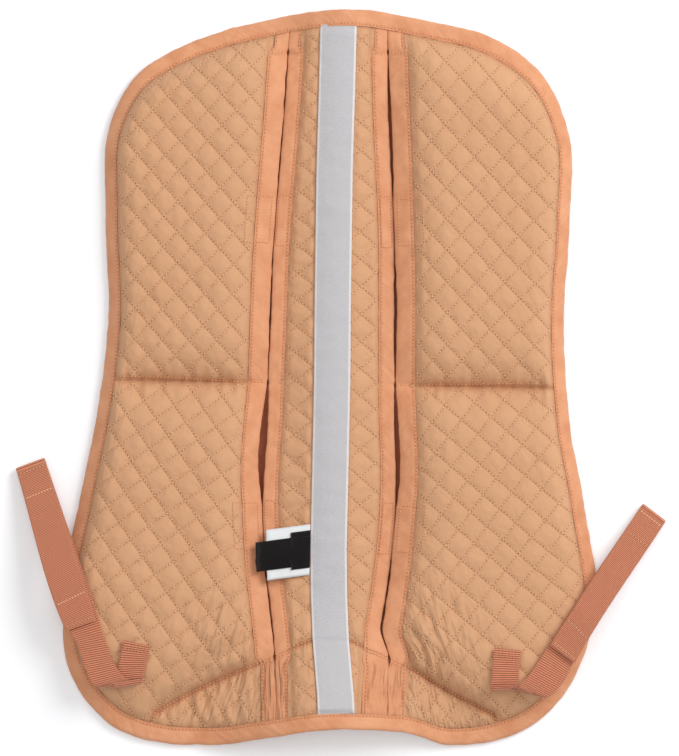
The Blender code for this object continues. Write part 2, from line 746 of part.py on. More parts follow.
def front_foam(name):
    border = foam_rim()
    inner_start = MIDDLE_SEAM - FOAM_MIDDLE_INSET
    behind = behind_front_seam(border[:, 0], border[:, 1]) - FOAM_FRONT_INSET
    start = crossing(border, border[:, 1] - inner_start)
    end = crossing(border, behind)
    outer = between(border, start, end)
    y = np.linspace(inner_start, SLIT_FRONT, 60)
    inner = np.stack([slit_at(y) + FOAM_SLIT_INSET, y], axis=1)
    inner = inner[behind_front_seam(inner[:, 0], inner[:, 1]) > FOAM_FRONT_INSET]
    first = np.array([inner[0], outer[0]])
    (start_point, corner), _ = front_seam()
    slope = np.array(corner) - np.array(start_point)
    square = np.array([-slope[1], slope[0]]) / np.linalg.norm(slope)
    bend = np.array(corner) + square * FOAM_FRONT_INSET
    last = np.array([inner[-1], bend, outer[-1]])
    return foam(name, patch(inner, outer, first, last, 10))


def hook_patch(name, centre):
    y = np.linspace(centre + CLOSURE_LENGTH / 2, centre - CLOSURE_LENGTH / 2, 4)[:, None]
    past = np.linspace(SLIT_HALF_GAP + FOLD_ROUND, CLOSURE_REACH, 4)[None]
    plan = np.stack(np.broadcast_arrays(slit_at(y) + past, y), axis=-1)
    high = with_height(plan, cover_bottom(plan[..., 0], plan[..., 1]) - SLIT_BINDING_UNDER - GAP)
    return slab(name, "hook and loop", high - (0, 0, HOOK_PATCH), high)


def loop_tab(name, centre):
    """Tab from under the spine panel's lip across the slit to under the hook patch."""
    y = np.linspace(centre + CLOSURE_LENGTH / 2, centre - CLOSURE_LENGTH / 2, 4)[:, None]
    on_panel = (-LOOP_TAB_START, -SLIT_HALF_GAP)
    past = np.array([*on_panel, 3 * SLIT_HALF_GAP, CLOSURE_REACH / 2, CLOSURE_REACH])[None]
    plan = np.stack(np.broadcast_arrays(slit_at(y) + past, y), axis=-1)
    x, y = plan[..., 0], plan[..., 1]
    under_panel = panel_bottom(x, y) - SLIT_BINDING_UNDER - GAP
    under_patch = cover_bottom(x, y) - TAB_TOP
    high = with_height(plan, np.where(np.broadcast_to(past, x.shape) < 0, under_panel, under_patch))
    return slab(name, "hook and loop", high - (0, 0, LOOP_TAB), high)


def spine_tape(name):
    """Webbing over the spine seam, on the left half, which carries both sides of it."""
    ends = SEAM_LINE[0, 1], SEAM_LINE[-1, 1]
    y = np.linspace(*ends, int(round((ends[0] - ends[1]) / QUILT_DIAGONAL)) + 1)[:, None]
    x = np.linspace(-TAPE_WIDTH / 2, TAPE_WIDTH / 2, 3)[None]
    plan = np.stack(np.broadcast_arrays(x, y), axis=-1)
    low = with_height(plan, panel_top(plan[..., 0], plan[..., 1]) + TAPE_CLEAR)
    return slab(name, "spine webbing", low, low + (0, 0, TAPE))


def label_lie():
    """Distances from the tape's edge, and the heights at which a band as wide as every label lies there."""
    length = max(size[0] for size in LABELS.values())
    centre = LABELS["care_label"][2]
    along = np.linspace(0, length, 8)[None]
    across = np.linspace(0.6, -0.6, 9)[:, None] * max(size[1] for size in LABELS.values())
    x, y = np.broadcast_arrays(-TAPE_WIDTH / 2 - along, centre + across - LABEL_SLANT * along)
    return along[0], taut(along[0], resting(x, y, QUILT_DIAGONAL / 8).max(axis=0)) + LABEL_CLEAR


def label(name, under):
    """A label sewn in at the tape's left edge. `under` is the height of the labels below it."""
    length, width, centre, cloth = LABELS[name]
    along = np.linspace(GAP, length, 6)[None]
    across = np.linspace(width / 2, -width / 2, 3)[:, None]
    x, y = np.broadcast_arrays(-TAPE_WIDTH / 2 - along, centre + across - LABEL_SLANT * along)
    heights = np.interp(along, *LABEL_LIE) + under
    low = with_height(np.stack([x, y], axis=-1), np.broadcast_to(heights, x.shape))
    return slab(name, name_finish(name), low, low + (0, 0, cloth))


def name_finish(name):
    return "white label" if name == "care_label" else "black label"


def strap_edges(points):
    """Plan places of the webbing's edges, from the way that they are measured to the pad's own."""
    return np.array(points, float) * MM - (0, FRONT_LENGTH)


def strap_rails(stations, step):
    """The webbing's two edges through the given stations, as rows of outer and inner points."""
    return smooth_curve(strap_edges(stations).reshape(len(stations), 4), step).reshape(-1, 2, 2)


def lie_of(rails):
    """Length along the webbing and the height at which it rests."""
    middle = rails.mean(axis=1)
    length = np.concatenate([[0], np.cumsum(np.linalg.norm(np.diff(middle, axis=0), axis=1))])
    plan = np.stack([rails[:, 0] * (1 - t) + rails[:, 1] * t for t in np.linspace(0, 1, 5)], axis=1)
    heights = resting(plan[..., 0], plan[..., 1], WEBBING * 4).max(axis=1) + STRAP_CLEAR
    return length, heights


def fold_rows(line, heading, centre, radius, end):
    """Rows round a fold in the webbing: its inside and its outside, from under the fold's centre to its top."""
    inside, outside = [], []
    for turn in np.radians(np.linspace(-90, end, 6)):
        for rows, r in ((inside, radius - WEBBING / 2), (outside, radius + WEBBING / 2)):
            plan = line + np.array(heading) * r * math.cos(turn)
            rows.append(with_height(plan, np.full(len(line), centre + r * math.sin(turn))))
    return np.array(inside), np.array(outside)


def strap(side, stations):
    """The parts of one strap. Returns its objects and the places and directions of its two folds."""
    crease = strap_edges(stations["crease"])
    tab = strap_rails((stations["anchor"], stations["crease"]), 16 * MM)
    tab_lie = lie_of(tab)
    tab_low = np.broadcast_to(taut(*tab_lie)[:, None], tab.shape[:2])
    tab_low = with_height(tab, tab_low)
    tab_high = tab_low + (0, 0, WEBBING)
    curl = tab_low[-1, 0, 2] + WEBBING / 2 + CURL_RADIUS
    forward = tab[-1].mean(axis=0) - tab[-2].mean(axis=0)
    forward = forward / np.linalg.norm(forward)
    inside, outside = fold_rows(tab[-1], forward, curl, CURL_RADIUS, CREASE_TURN)
    anchor = slab(
        f"{side}_strap_anchor",
        "strap webbing",
        np.concatenate([tab_low[:-1], outside]),
        np.concatenate([tab_high[:-1], inside]),
    )

    run_stations = (stations["crease"], *stations["run"], stations["seam"], stations["tip"])
    rails = strap_rails(run_stations, 14 * MM)
    heading = rails[-1].mean(axis=0) - rails[-2].mean(axis=0)
    heading /= np.linalg.norm(heading)
    fold_radius = (WEBBING + 2 * STRAP_TAPE + 3 * GAP) / 2
    rails[-1] -= heading * (fold_radius + WEBBING / 2)
    length, rest = lie_of(rails)
    rest[0] = curl + CURL_RADIUS - WEBBING / 2
    low = taut(length, rest)
    run_low = with_height(rails, np.broadcast_to(low[:, None], rails.shape[:2]))
    run_high = run_low + (0, 0, WEBBING)
    tip = low[-1] + WEBBING / 2 + fold_radius
    inside, outside = fold_rows(rails[-1], heading, tip, fold_radius, TIP_TURN)
    run = slab(
        f"{side}_strap",
        "strap webbing",
        np.concatenate([run_low[:-1], outside]),
        np.concatenate([run_high[:-1], inside]),
    )

    seam = strap_edges(stations["seam"]).mean(axis=0)
    seam_at = length[int(np.argmin(np.linalg.norm(rails.mean(axis=1) - seam, axis=1)))]

    def layer(name, lift, finish, thick, width, begin, end):
        at = np.concatenate([[begin], length[(length > begin + 2 * MM) & (length < end - 2 * MM)], [end]])
        row = np.interp(at, length, np.arange(len(length)))
        edges = rows_at(rails, row)
        middle = edges.mean(axis=1, keepdims=True)
        full = np.linalg.norm(edges[:, 0] - edges[:, 1], axis=1)[:, None, None]
        edges = middle + (edges - middle) * np.minimum(1, width / full)
        heights = np.broadcast_to(np.interp(at, length, low)[:, None] + lift, edges.shape[:2])
        bottom = with_height(edges, heights)
        return slab(name, finish, bottom, bottom + (0, 0, thick))

    loop_lift = WEBBING + GAP
    hook_lift = loop_lift + STRAP_TAPE + GAP
    tail_lift = hook_lift + STRAP_TAPE + GAP
    span = (seam_at + STRAP_TAPE_END, length[-1] - STRAP_TAPE_END)
    tape = ("hook and loop", STRAP_TAPE, STRAP_TAPE_WIDTH)
    loop = layer(f"{side}_strap_loop_tape", loop_lift, *tape, *span)
    hook = layer(f"{side}_strap_hook_tape", hook_lift, *tape, *span)
    tail = layer(f"{side}_strap_tail", tail_lift, "strap webbing", WEBBING, 1.0, seam_at, length[-1] - GAP)
    fold_line = np.array([crease[1], strap_edges(stations["run"][0])[0]])
    crease_pin = (*fold_line.mean(axis=0), float(run_high[0, 0, 2]) + HINGE_LIFT)
    tip_pin = (*rails[-1].mean(axis=0), float(low[-1]) + tail_lift + WEBBING + HINGE_LIFT)
    return {"anchor": anchor, "strap": run, "loop": loop, "hook": hook, "tail": tail}, crease_pin, tip_pin


def mirrored(obj, name):
    """A copy of a right-hand piece for the left half."""
    mesh = obj.data.copy()
    mesh.transform(Matrix.Scale(-1, 4, (1, 0, 0)))
    mesh.flip_normals()
    mesh.name = name
    copy = bpy.data.objects.new(name, mesh)
    PARTS.objects.link(copy)
    return copy


def half_pieces():
    """The right half's pieces, by name without the side."""
    pieces = {
        "lower_shell": lower_shell("right_lower_shell"),
        "spine_panel": spine_panel("right_spine_panel"),
        "pocket_cover": pocket_cover("right_pocket_cover"),
        "rear_foam": rear_foam("right_rear_foam"),
        "front_foam": front_foam("right_front_foam"),
        "edge_binding": edge_binding("right_edge_binding"),
        "cover_slit_binding": slit_binding("right_cover_slit_binding", 1, cover_bottom),
        "spine_slit_binding": slit_binding("right_spine_slit_binding", -1, panel_bottom),
    }
    for place, centre in CLOSURES.items():
        pieces[f"{place}_hook_patch"] = hook_patch(f"right_{place}_hook_patch", centre)
        pieces[f"{place}_loop_tab"] = loop_tab(f"right_{place}_loop_tab", centre)
    return pieces


def new_axis(name, place, parent=None):
    """An empty on a joint's axis. Its place is measured from the foot of the spine line."""
    empty = bpy.data.objects.new(name, None)
    empty.empty_display_size = 20 * MM
    PARTS.objects.link(empty)
    AXIS_PLACES[name] = Vector(place)
    empty.location = AXIS_PLACES[name] - (AXIS_PLACES[parent.name] if parent else Vector((-ORIGIN_SHIFT, 0, 0)))
    empty.parent = parent
    return empty


def ride(objects, axis):
    for obj in objects:
        obj.parent = axis
        obj.location = -AXIS_PLACES[axis.name]


def new_material(name, color, roughness, metallic):
    material = bpy.data.materials.new(name)
    material.use_nodes = True
    shader = material.node_tree.nodes["Principled BSDF"]
    shader.inputs["Base Color"].default_value = (*color, 1)
    shader.inputs["Roughness"].default_value = roughness
    shader.inputs["Metallic"].default_value = metallic
    material.diffuse_color = (*color, 1)
    return material


for old in list(bpy.data.objects):
    bpy.data.objects.remove(old)
PARTS = bpy.data.collections.new("Memory foam half pad")
CUTTERS = bpy.data.collections.new("Cutters")
for collection in (PARTS, CUTTERS):
    bpy.context.scene.collection.children.link(collection)
CUTTERS.hide_render = True
MATERIALS = {name: new_material(name, *values) for name, values in FINISHES.items()}
AXIS_PLACES = {}
LABEL_LIE = label_lie()

right = half_pieces()
left = {name: mirrored(obj, f"left_{name}") for name, obj in right.items()}
tape = spine_tape("spine_tape")
care = label("care_label", 0)
tag = label("size_tag", LABELS["care_label"][3] + GAP)
woven = label("woven_label", LABEL_STACK - LABELS["woven_label"][3])
left_strap, left_crease, left_tip = strap("left", STRAPS["left"])
right_strap, right_crease, right_tip = strap("right", STRAPS["right"])

pad = new_axis("half_pad", (0, 0, 0))
fold = new_axis("spine_fold", (0, 0, RIDGE - FOLD_CLEAR), pad)
left_swing = new_axis("left_strap_swing", left_crease, pad)
left_peel = new_axis("left_tail_peel", left_tip, left_swing)
right_swing = new_axis("right_strap_swing", right_crease, fold)
right_peel = new_axis("right_tail_peel", right_tip, right_swing)
label_root = (-TAPE_WIDTH / 2, LABELS["care_label"][2], float(LABEL_LIE[1][0]) + LABEL_STACK + HINGE_LIFT)
label_lift = new_axis("label_lift", label_root, pad)
woven_lift = new_axis("woven_label_lift", label_root, label_lift)

ride([*left.values(), tape, left_strap["anchor"]], pad)
ride([*right.values(), right_strap["anchor"]], fold)
ride([left_strap["strap"], left_strap["loop"]], left_swing)
ride([left_strap["tail"], left_strap["hook"]], left_peel)
ride([right_strap["strap"], right_strap["loop"]], right_swing)
ride([right_strap["tail"], right_strap["hook"]], right_peel)
ride([care, tag], label_lift)
ride([woven], woven_lift)
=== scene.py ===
"""Looks of the memory foam half pad: quilted covers, bias bindings, webbing, labels and all stitches.

Lengths are in metres in the frame of the CAD model. The pad itself is shaped in plan from its spine seam: x
across from the seam, y towards the cantle, and `place()` moves what is made there into the frame.
"""

import json
import math
from functools import partial

import bmesh
import bpy
import numpy as np
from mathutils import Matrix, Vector, kdtree
from mathutils.bvhtree import BVHTree


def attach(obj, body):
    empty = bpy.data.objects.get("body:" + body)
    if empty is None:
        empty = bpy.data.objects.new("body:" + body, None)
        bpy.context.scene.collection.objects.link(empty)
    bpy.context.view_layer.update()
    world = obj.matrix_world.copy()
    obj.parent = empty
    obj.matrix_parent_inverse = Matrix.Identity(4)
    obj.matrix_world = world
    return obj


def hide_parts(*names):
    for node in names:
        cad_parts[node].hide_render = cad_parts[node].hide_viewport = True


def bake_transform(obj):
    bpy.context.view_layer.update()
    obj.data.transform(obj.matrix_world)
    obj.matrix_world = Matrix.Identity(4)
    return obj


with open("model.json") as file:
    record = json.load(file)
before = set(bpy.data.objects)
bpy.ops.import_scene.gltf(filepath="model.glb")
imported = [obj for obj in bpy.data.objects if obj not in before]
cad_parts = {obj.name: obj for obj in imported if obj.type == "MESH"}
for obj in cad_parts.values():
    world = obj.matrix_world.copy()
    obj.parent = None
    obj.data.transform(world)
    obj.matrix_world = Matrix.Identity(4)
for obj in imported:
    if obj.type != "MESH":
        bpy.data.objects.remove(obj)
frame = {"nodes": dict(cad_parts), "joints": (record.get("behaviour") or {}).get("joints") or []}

MM = 0.001
SPINE_X = next(j for j in frame["joints"] if j["name"] == "spine_fold")["pos_m"][0]
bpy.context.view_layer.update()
SIDES = {"left": -1, "right": 1}

# Outline of one half, from the cantle to the withers
OUTLINE = tuple(
    (x * MM, y * MM)
    for x, y in (
        (0, 303), (62, 296), (124, 280), (166, 252), (189, 205), (191, 130), (187.5, 45), (194, -19),
        (208, -100), (220, -189), (207, -245), (170, -284), (107, -303), (52, -297), (0, -291),
    )
)

# How far the real pad's edge lies outside that even outline: length along it from the cantle, and distance
DRAWN_OUT = {
    "left": (
        (62, 0), (100, -1.6), (140, -4.0), (175, -6.6), (220, -5.8), (250, -3.4), (280, -1.7), (400, -1.5),
        (480, -2.4), (560, -3.2), (620, -2.6), (680, -2.4), (705, -0.3), (735, 4.0), (765, 8.0), (800, 10.6),
        (822, 9.0), (845, 6.6), (870, 3.4), (900, 4.2), (930, 2.6), (976, 0),
    ),
    "right": (
        (62, 0), (90, 1.8), (150, 1.7), (195, 4.2), (250, 3.0), (330, 3.0), (450, 3.9), (500, 2.3),
        (545, 0.9), (600, 2.5), (680, 2.5), (715, 0.0), (740, -1.6), (770, 0.5), (800, 2.0), (840, 1.4),
        (880, -0.8), (905, -4.2), (925, -5.4), (945, -3.8), (976, 0),
    ),
}
DRAWN_REACH = 55 * MM

# The right slit leans away from the spine at its front end: distance, where it starts along the spine and
# its run, and the same across, from the spine's side and back to the cover's
LEAN = 10 * MM
LEAN_FROM = -205 * MM
LEAN_RUN = 30 * MM
LEAN_ACROSS = (27 * MM, 13 * MM)
LEAN_FADES = (70 * MM, 58 * MM)

# Slit between the spine panel and the pocket cover: place along the spine and distance from it
SLIT = tuple(
    (y * MM, x * MM)
    for y, x in (
        (320, 39), (231, 43), (111, 50), (-30, 53.5), (-80, 56), (-150, 52.4), (-231, 42.5), (-320, 40),
    )
)

# Seams and closures: their places in plan, and how far their rows of stitches lie from them
REAR_BAR = 268 * MM
MIDDLE_SEAM = -6 * MM
SLIT_FRONT = -232 * MM
FRONT_SEAM_CORNER = (138.6 * MM, -275.5 * MM)
FRONT_SEAM_END = (146.5 * MM, -291.5 * MM)
FRONT_SEAM_ROWS = (0.4 * MM, -2.2 * MM)
PANEL_FRONT_SEAM = ((-44, -234), (-31.5, -225.5), (-13, -218), (22, -218), (36, -225), (45, -232))
PANEL_SEAM_ROWS = (0.6 * MM, -2.0 * MM)
PANEL_ROW_END = 28 * MM
PANEL_ROWS = ((-PANEL_ROW_END, -12.5 * MM), (21 * MM, PANEL_ROW_END))
REAR_BAR_ROWS = (0, -1.6 * MM)
MIDDLE_ROW_END = 178 * MM
CLOSURES = {"rear": 126 * MM, "front": -127 * MM}
CLOSURE_LENGTH = 40 * MM
CLOSURE_SHIFT = 2.5 * MM

# The slit's two lips, the cover's and the spine panel's: the side on which each one's cloth lies, the width
# of its binding, its share of an opening, and how far from its nose the closures' boxes start and end
LIPS = {"cover": 1, "spine": -1}
SLIT_WIDTH = {"cover": 16 * MM, "spine": 13 * MM}
LIP_DRAWN = {"cover": 0.62, "spine": 0.38}
CLOSURE_BOX = {"cover": (3.5 * MM, 24.0 * MM), "spine": (2.2 * MM, 10.5 * MM)}

# How far the slit's lips stand open between the places where they are held: from, to, and width on each side
OPENINGS = (
    (REAR_BAR, 148 * MM, {"left": 0.4 * MM, "right": 2.2 * MM}),
    (104 * MM, MIDDLE_SEAM, {"left": 0.7 * MM, "right": 2.0 * MM}),
    (MIDDLE_SEAM, -106 * MM, {"left": 5.6 * MM, "right": 3.8 * MM}),
    (-148 * MM, SLIT_FRONT, {"left": 0.6 * MM, "right": 1.2 * MM}),
)

# Layers and forms, as in the CAD model
SHELL = 2.5 * MM
LAYER_ROOM = 2.0 * MM
COVER = 3.0 * MM
SPINE_PANEL = 2.5 * MM
EDGE_WIDTH = 13.5 * MM
EDGE_TOPSIDE = 4.1 * MM
EDGE_UNDER = 2.1 * MM
EDGE_LEVEL = 2.8 * MM
SIDE_TILT = math.radians(42)
SLIT_HALF_GAP = 1 * MM
SLIT_OVER = 2.0 * MM
SLIT_UNDER = 1.1 * MM
FOAM_RISE = 20 * MM
OUTER_RAMP = 34 * MM
OUTER_ROUND = 2.2
INNER_RAMP = 45 * MM
FRONT_RAMP = 38 * MM
LIP_SHARE = 0.30
LIP_RUN = 34 * MM
SPINE_LIP = 3.0 * MM
SPINE_LIP_REACH = 32 * MM
MIDDLE_PINCH = 0.88
MIDDLE_PINCH_RUN = 15 * MM
RIM_FALL = 28 * MM
RIDGE = 12 * MM
RIDGE_HALF_WIDTH = 52 * MM
WITHERS_RISE = 30 * MM
WITHERS_RUN = 125 * MM
WITHERS_HALF_WIDTH = 115 * MM
TAPE_WIDTH = 30 * MM
TAPE = 1.2 * MM
TAPE_CLEAR = 0.9 * MM
TAPE_WANDER = (
    (290, 0.1), (231, -0.2), (170, -0.8), (111, -0.5), (51, -0.1), (-3, 0.6), (-85, 0.5), (-140, 0.3),
    (-180, 1.4), (-217, 3.6), (-240, 6.0), (-262, 8.3), (-290, 9.9),
)

# How cloth lies in its bindings and beside its seams, and how close the slit's two lips come
TUCKED = 0.85 * MM
SQUEEZED = 2 * MM
SHELL_TUCKED = 1.5 * MM
UNDER_BINDING = 5 * MM
THINNEST = 0.5 * MM
LIPS_APART = 0.12 * MM
LIPS_SQUEEZED = {"left": (0.26, 0.26), "right": (0.18, 0.10)}
# How dark the painted shade beside the slit's bindings is, as a share
SLIT_SHADE = 0.35

# Swelling of the cloth behind the front seam: height, distance from the seam, width, and run from the seam
COVER_BULGE = (2.6 * MM, 11 * MM, 9 * MM, 5 * MM)
PANEL_BULGE = (2.2 * MM, 9 * MM, 12 * MM, 8 * MM)

# Quilting: for each panel the two rows' angle to the spine, their spacing and the place of one row
QUILTS = {
    ("left", "rear"): ((42.5, 17.1 * MM, 0.6 * MM), (-42.5, 17.0 * MM, 13.1 * MM)),
    ("right", "rear"): ((43.0, 17.1 * MM, 3.8 * MM), (-41.5, 17.6 * MM, 17.1 * MM)),
    ("left", "front"): ((36.0, 18.5 * MM, 9.4 * MM), (-53.5, 17.5 * MM, 13.7 * MM)),
    ("right", "front"): ((50.0, 17.5 * MM, 9.0 * MM), (-36.5, 17.4 * MM, 2.3 * MM)),
    ("left", "spine"): ((52.0, 17.6 * MM, 14.3 * MM), (-52.0, 17.4 * MM, 2.0 * MM)),
    ("right", "spine"): ((50.0, 17.0 * MM, 3.9 * MM), (-48.0, 17.0 * MM, 10.6 * MM)),
    ("both", "underside"): ((45.0, 17.3 * MM, 0.0), (-45.0, 17.3 * MM, 0.0)),
}
QUILT_RISE = {"left": 3.0 * MM, "right": 2.4 * MM}
UNDER_RISE = 1.5 * MM
VALLEY = 3.2 * MM
DIAMOND = 17 * MM

# Wrinkles and wanderings: how wide each kind is, how high, and its first seed
WRINKLES = {
    "quilting wander": (55 * MM, 0.70 * MM, 3),
    "slanting crease": (9 * MM, 0.30 * MM, 11),
    "broad swell": (46 * MM, 0.45 * MM, 5),
    "edge gather": (7 * MM, 0.50 * MM, 21),
    "slit gather": (6 * MM, 0.45 * MM, 24),
    "seam gather": (6 * MM, 2.1 * MM, 31),
    "upright fold": (6.5 * MM, 2.3 * MM, 37),
    "pulled fold": (5.5 * MM, 2.3 * MM, 43),
    "panel crease": (7 * MM, 0.50 * MM, 51),
    "panel swell": (30 * MM, 0.50 * MM, 53),
    "panel gather": (6 * MM, 1.2 * MM, 57),
    "edge pucker": (5.5 * MM, 0.34 * MM, 71),
    "edge drag": (17 * MM, 0.35 * MM, 72),
    "edge crease": (7 * MM, 0.24 * MM, 73),
    "lip wander": (38 * MM, 0.30 * MM, 80),
    "lip pucker": (5 * MM, 0.30 * MM, 80),
    "lip drag": (10 * MM, 0.40 * MM, 81),
    "lip pleat": (3.6 * MM, 0.55 * MM, 82),
    "tape wave": (12 * MM, 0.40 * MM, 91),
    "tape swell": (26 * MM, 0.25 * MM, 93),
    "tape edge": (7 * MM, 0.35 * MM, 95),
}

# Thread: pitch of the stitches, length of what shows of each, and thickness
QUILT_THREAD = (3.0 * MM, 2.8 * MM, 0.36 * MM)
SEAM_THREAD = (3.0 * MM, 2.7 * MM, 0.38 * MM)
BAR_THREAD = (2.5 * MM, 2.3 * MM, 0.40 * MM)

# A binding's row of stitches: distance from its inner edge, and from the edge binding's nose
ROW_INSET = 1.6 * MM
EDGE_STITCH = EDGE_WIDTH - ROW_INSET
LAP_HALF_WIDTH = 97 * MM
LAP = 9 * MM
ROW_STEP = 0.5 * MM
FEWEST_POINTS = 10
ROWS_SHORT = -0.4 * MM
UNDERSIDE_SHORT = -1 * MM

# Straps: their webbing, how it lies and folds, and the places of its rows of thread
WEBBING = 1.5 * MM
STRAP_WIDTH = 25 * MM
RIB = 1.8 * MM
RIB_HEIGHT = 0.30 * MM
STRAP_CLEAR = 0.8 * MM
CURL_RADIUS = 2.8 * MM
STRAP_TAPE = 1.0 * MM
STRAP_GAP = 0.3 * MM
DOUBLED_ASIDE = {"left": 2.2 * MM, "right": 1.0 * MM}
FINE_RIB = 1.35 * MM
DOUBLED_ROWS = (3.0 * MM, 24.0 * MM)
ANCHOR_ROWS = (3.0 * MM, 6.0 * MM)
STRAP_STEP = 2 * MM
ARC_ROWS = 9
STRAP_DROOP = 40 * MM
STRAP_FLOOR_CLEAR = 0.6 * MM

# The straps' outer and inner edge in millimetres, seen from above, from the sewn end to the folded tip
STRAPS = {
    "left": {
        "anchor": ((-166.9, -220.7), (-144.8, -224.8)),
        "crease": ((-174.0, -256.5), (-150.5, -252.5)),
        "run": (
            ((-189.3, -259.1), (-163.9, -252.0)),
            ((-197.8, -245.3), (-174.0, -239.8)),
            ((-203.9, -228.1), (-180.9, -223.5)),
        ),
        "seam": ((-212.5, -212.5), (-187.9, -203.0)),
        "tip": ((-260.1, -79.8), (-236.7, -70.6)),
    },
    "right": {
        "anchor": ((160.3, -222.6), (138.2, -221.0)),
        "crease": ((158.3, -251.5), (136.0, -252.5)),
        "run": (
            ((183.0, -260.5), (160.0, -249.5)),
            ((196.5, -246.5), (173.0, -234.0)),
        ),
        "seam": ((204.1, -231.2), (183.6, -216.3)),
        "tip": ((279.5, -113.0), (260.3, -98.9)),
    },
}

# The even quilting of the CAD model, which the webbing and the labels lie on
CAD_QUILT_DIAGONAL = 24.5 * MM
CAD_QUILT_RISE = 2.6 * MM
CAD_SLIT_SEAM = 14 * MM

# Labels: how they lie, and the length, width, place along the spine and thickness of each
LABEL_SLANT = 0.15
LABEL_CLEAR = 0.8 * MM
LABEL_GAP = 0.3 * MM
LABEL_ROOT = 0.4 * MM
LABEL_CURL = 1.8 * MM
LABEL_TIP = 2.2 * MM
LABELS = {
    "care_label": (37 * MM, 42 * MM, -143.0 * MM, 0.4 * MM),
    "size_tag": (16 * MM, 31 * MM, -142.5 * MM, 0.4 * MM),
    "woven_label": (45 * MM, 24.5 * MM, -143.5 * MM, 0.6 * MM),
}

# Mesh spacings, the boxes in plan that hold the pad and its spine panels, and where the covers' boxes start
COVER_STEP = 1.6 * MM
PANEL_STEP = 1.5 * MM
SHELL_STEP = 2.3 * MM
BINDING_STEP = 1.5 * MM
TAPE_STEP = 1.2 * MM
PAD_BOX = ((-225 * MM, -310 * MM), (225 * MM, 310 * MM))
PANEL_BOX = ((-62 * MM, -308 * MM), (62 * MM, 308 * MM))
COVER_START = 20 * MM

# The spine's fold: a distance on each side of the seam; no cloth is bent here
FOLD_ZONE = 16 * MM

# Camera and light
CAMERA_PLACE = (-2.7 * MM, -1.1 * MM)
CAMERA_HEIGHT = 6.0
CAMERA_ROLL = 0.0195
PHOTO_HEIGHT = 756 * 0.825 * MM
FILM = 36
SUBJECT_HEIGHT = 20 * MM
WORLD_LEVEL = 0.52
WORLD_COLOUR = (0.96, 0.98, 1, 1)
LAMPS = (
    ("light from the right", (1.95, 1.42, 2.28), 1.8, 61.0),
    ("light overhead", (-0.8, 0.6, 7.0), 4.8, 116.0),
)
FLOOR_REACH = 3.0
FLOOR_COLOUR = (0.90, 0.90, 0.91)
FLOOR_GLOW = 0.16

# Dyes, as linear light, and the colours of painted shade
COTTON_PALE = (0.690, 0.375, 0.202)
COTTON_DEEP = (0.630, 0.330, 0.172)
# The next colour is painted shade, for the quilting's valleys and the cloth beside seams and bindings
COTTON_CREASE_SHADE = (0.400, 0.150, 0.060)
CORAL = (0.860, 0.425, 0.230)
# A deeper coral for the tape's random patches, and painted shade along its rows of stitches
CORAL_DEEP_AND_SHADE = (0.620, 0.230, 0.100)
# Painted shade: the dark colour on the pad's inner faces, which show through the slit
INSIDE_SHADE = (0.420, 0.120, 0.055)
PALE_THREAD = (0.960, 0.590, 0.320)
SEAM_TWIST = (0.930, 0.450, 0.220)
# Painted shade, where the thread goes down into the cloth at the ends of each stitch
NEEDLE_HOLE_SHADE = (0.340, 0.120, 0.050)
BINDING_HOLE_SHADE = (0.420, 0.110, 0.040)
TAPE_GREYS = (0.470, 0.455, 0.465), (0.70, 0.675, 0.685)
TAPE_SELVEDGE = (0.82, 0.80, 0.80)
STRAP_DYES = (0.91, 0.375, 0.212), (0.80, 0.300, 0.160)
# Painted shade for the grooves between the strap's ribs
STRAP_GROOVE_SHADE = (0.36, 0.085, 0.038)
STRAP_FUZZ = (0.82, 0.38, 0.25)
WHITE_LABEL = (0.80, 0.80, 0.80), (0.62, 0.62, 0.63)
BLACK_LABEL = (0.007, 0.005, 0.005), (0.030, 0.024, 0.024)
FOAM_CREAMS = (0.62, 0.53, 0.34), (0.84, 0.77, 0.58)
FOAM_AGED = (0.80, 0.70, 0.45)
PILE_DYES = (0.46, 0.15, 0.08), (0.78, 0.33, 0.20)

# How much the cloths shine
COTTON_LOOK = {"Roughness": 0.74, "Sheen Weight": 0.12, "Sheen Roughness": 0.45, "Specular IOR Level": 0.3}
BIAS_LOOK = {"Roughness": 0.66, "Sheen Weight": 0.15, "Sheen Roughness": 0.4, "Specular IOR Level": 0.3}
STRAP_LOOK = {"Roughness": 0.78, "Sheen Weight": 0.2, "Sheen Roughness": 0.5, "Specular IOR Level": 0.25}


def smooth(t):
    """0 below 0, 1 above 1, and an S between."""
    t = np.clip(t, 0, 1)
    return t * t * (3 - 2 * t)


def quarter_sine(t):
    return np.sin(np.clip(t, 0, 1) * math.pi / 2)


def round_shoulder(t, power):
    return 1 - (1 - np.clip(t, 0, 1)) ** power


def bell(distance, width):
    return np.exp(-((distance / width) ** 2))


def ripple(x, y, size, seed):
    """Smooth random waves between about -1 and 1, each about `size` across."""
    u, v = x / size, y / size
    i, j = np.floor(u), np.floor(v)
    total = 0
    for a in (0, 1):
        for b in (0, 1):
            turn = np.sin((i + a) * 127.1 + (j + b) * 311.7 + seed * 74.7) * 43758.5453
            turn = (turn - np.floor(turn)) * 2 * math.pi
            du, dv = u - i - a, v - j - b
            slope = np.cos(turn) * du + np.sin(turn) * dv
            total = total + slope * smooth(1 - np.abs(du)) * smooth(1 - np.abs(dv))
    return total * 1.8


def wrinkle(kind, x, y, variant=0):
    """Height of one kind of wrinkle. Each variant of a kind lies differently."""
    size, height, seed = WRINKLES[kind]
    return height * ripple(x, y, size, seed + variant)


def unit(vectors):
    return vectors / np.linalg.norm(vectors, axis=-1, keepdims=True)


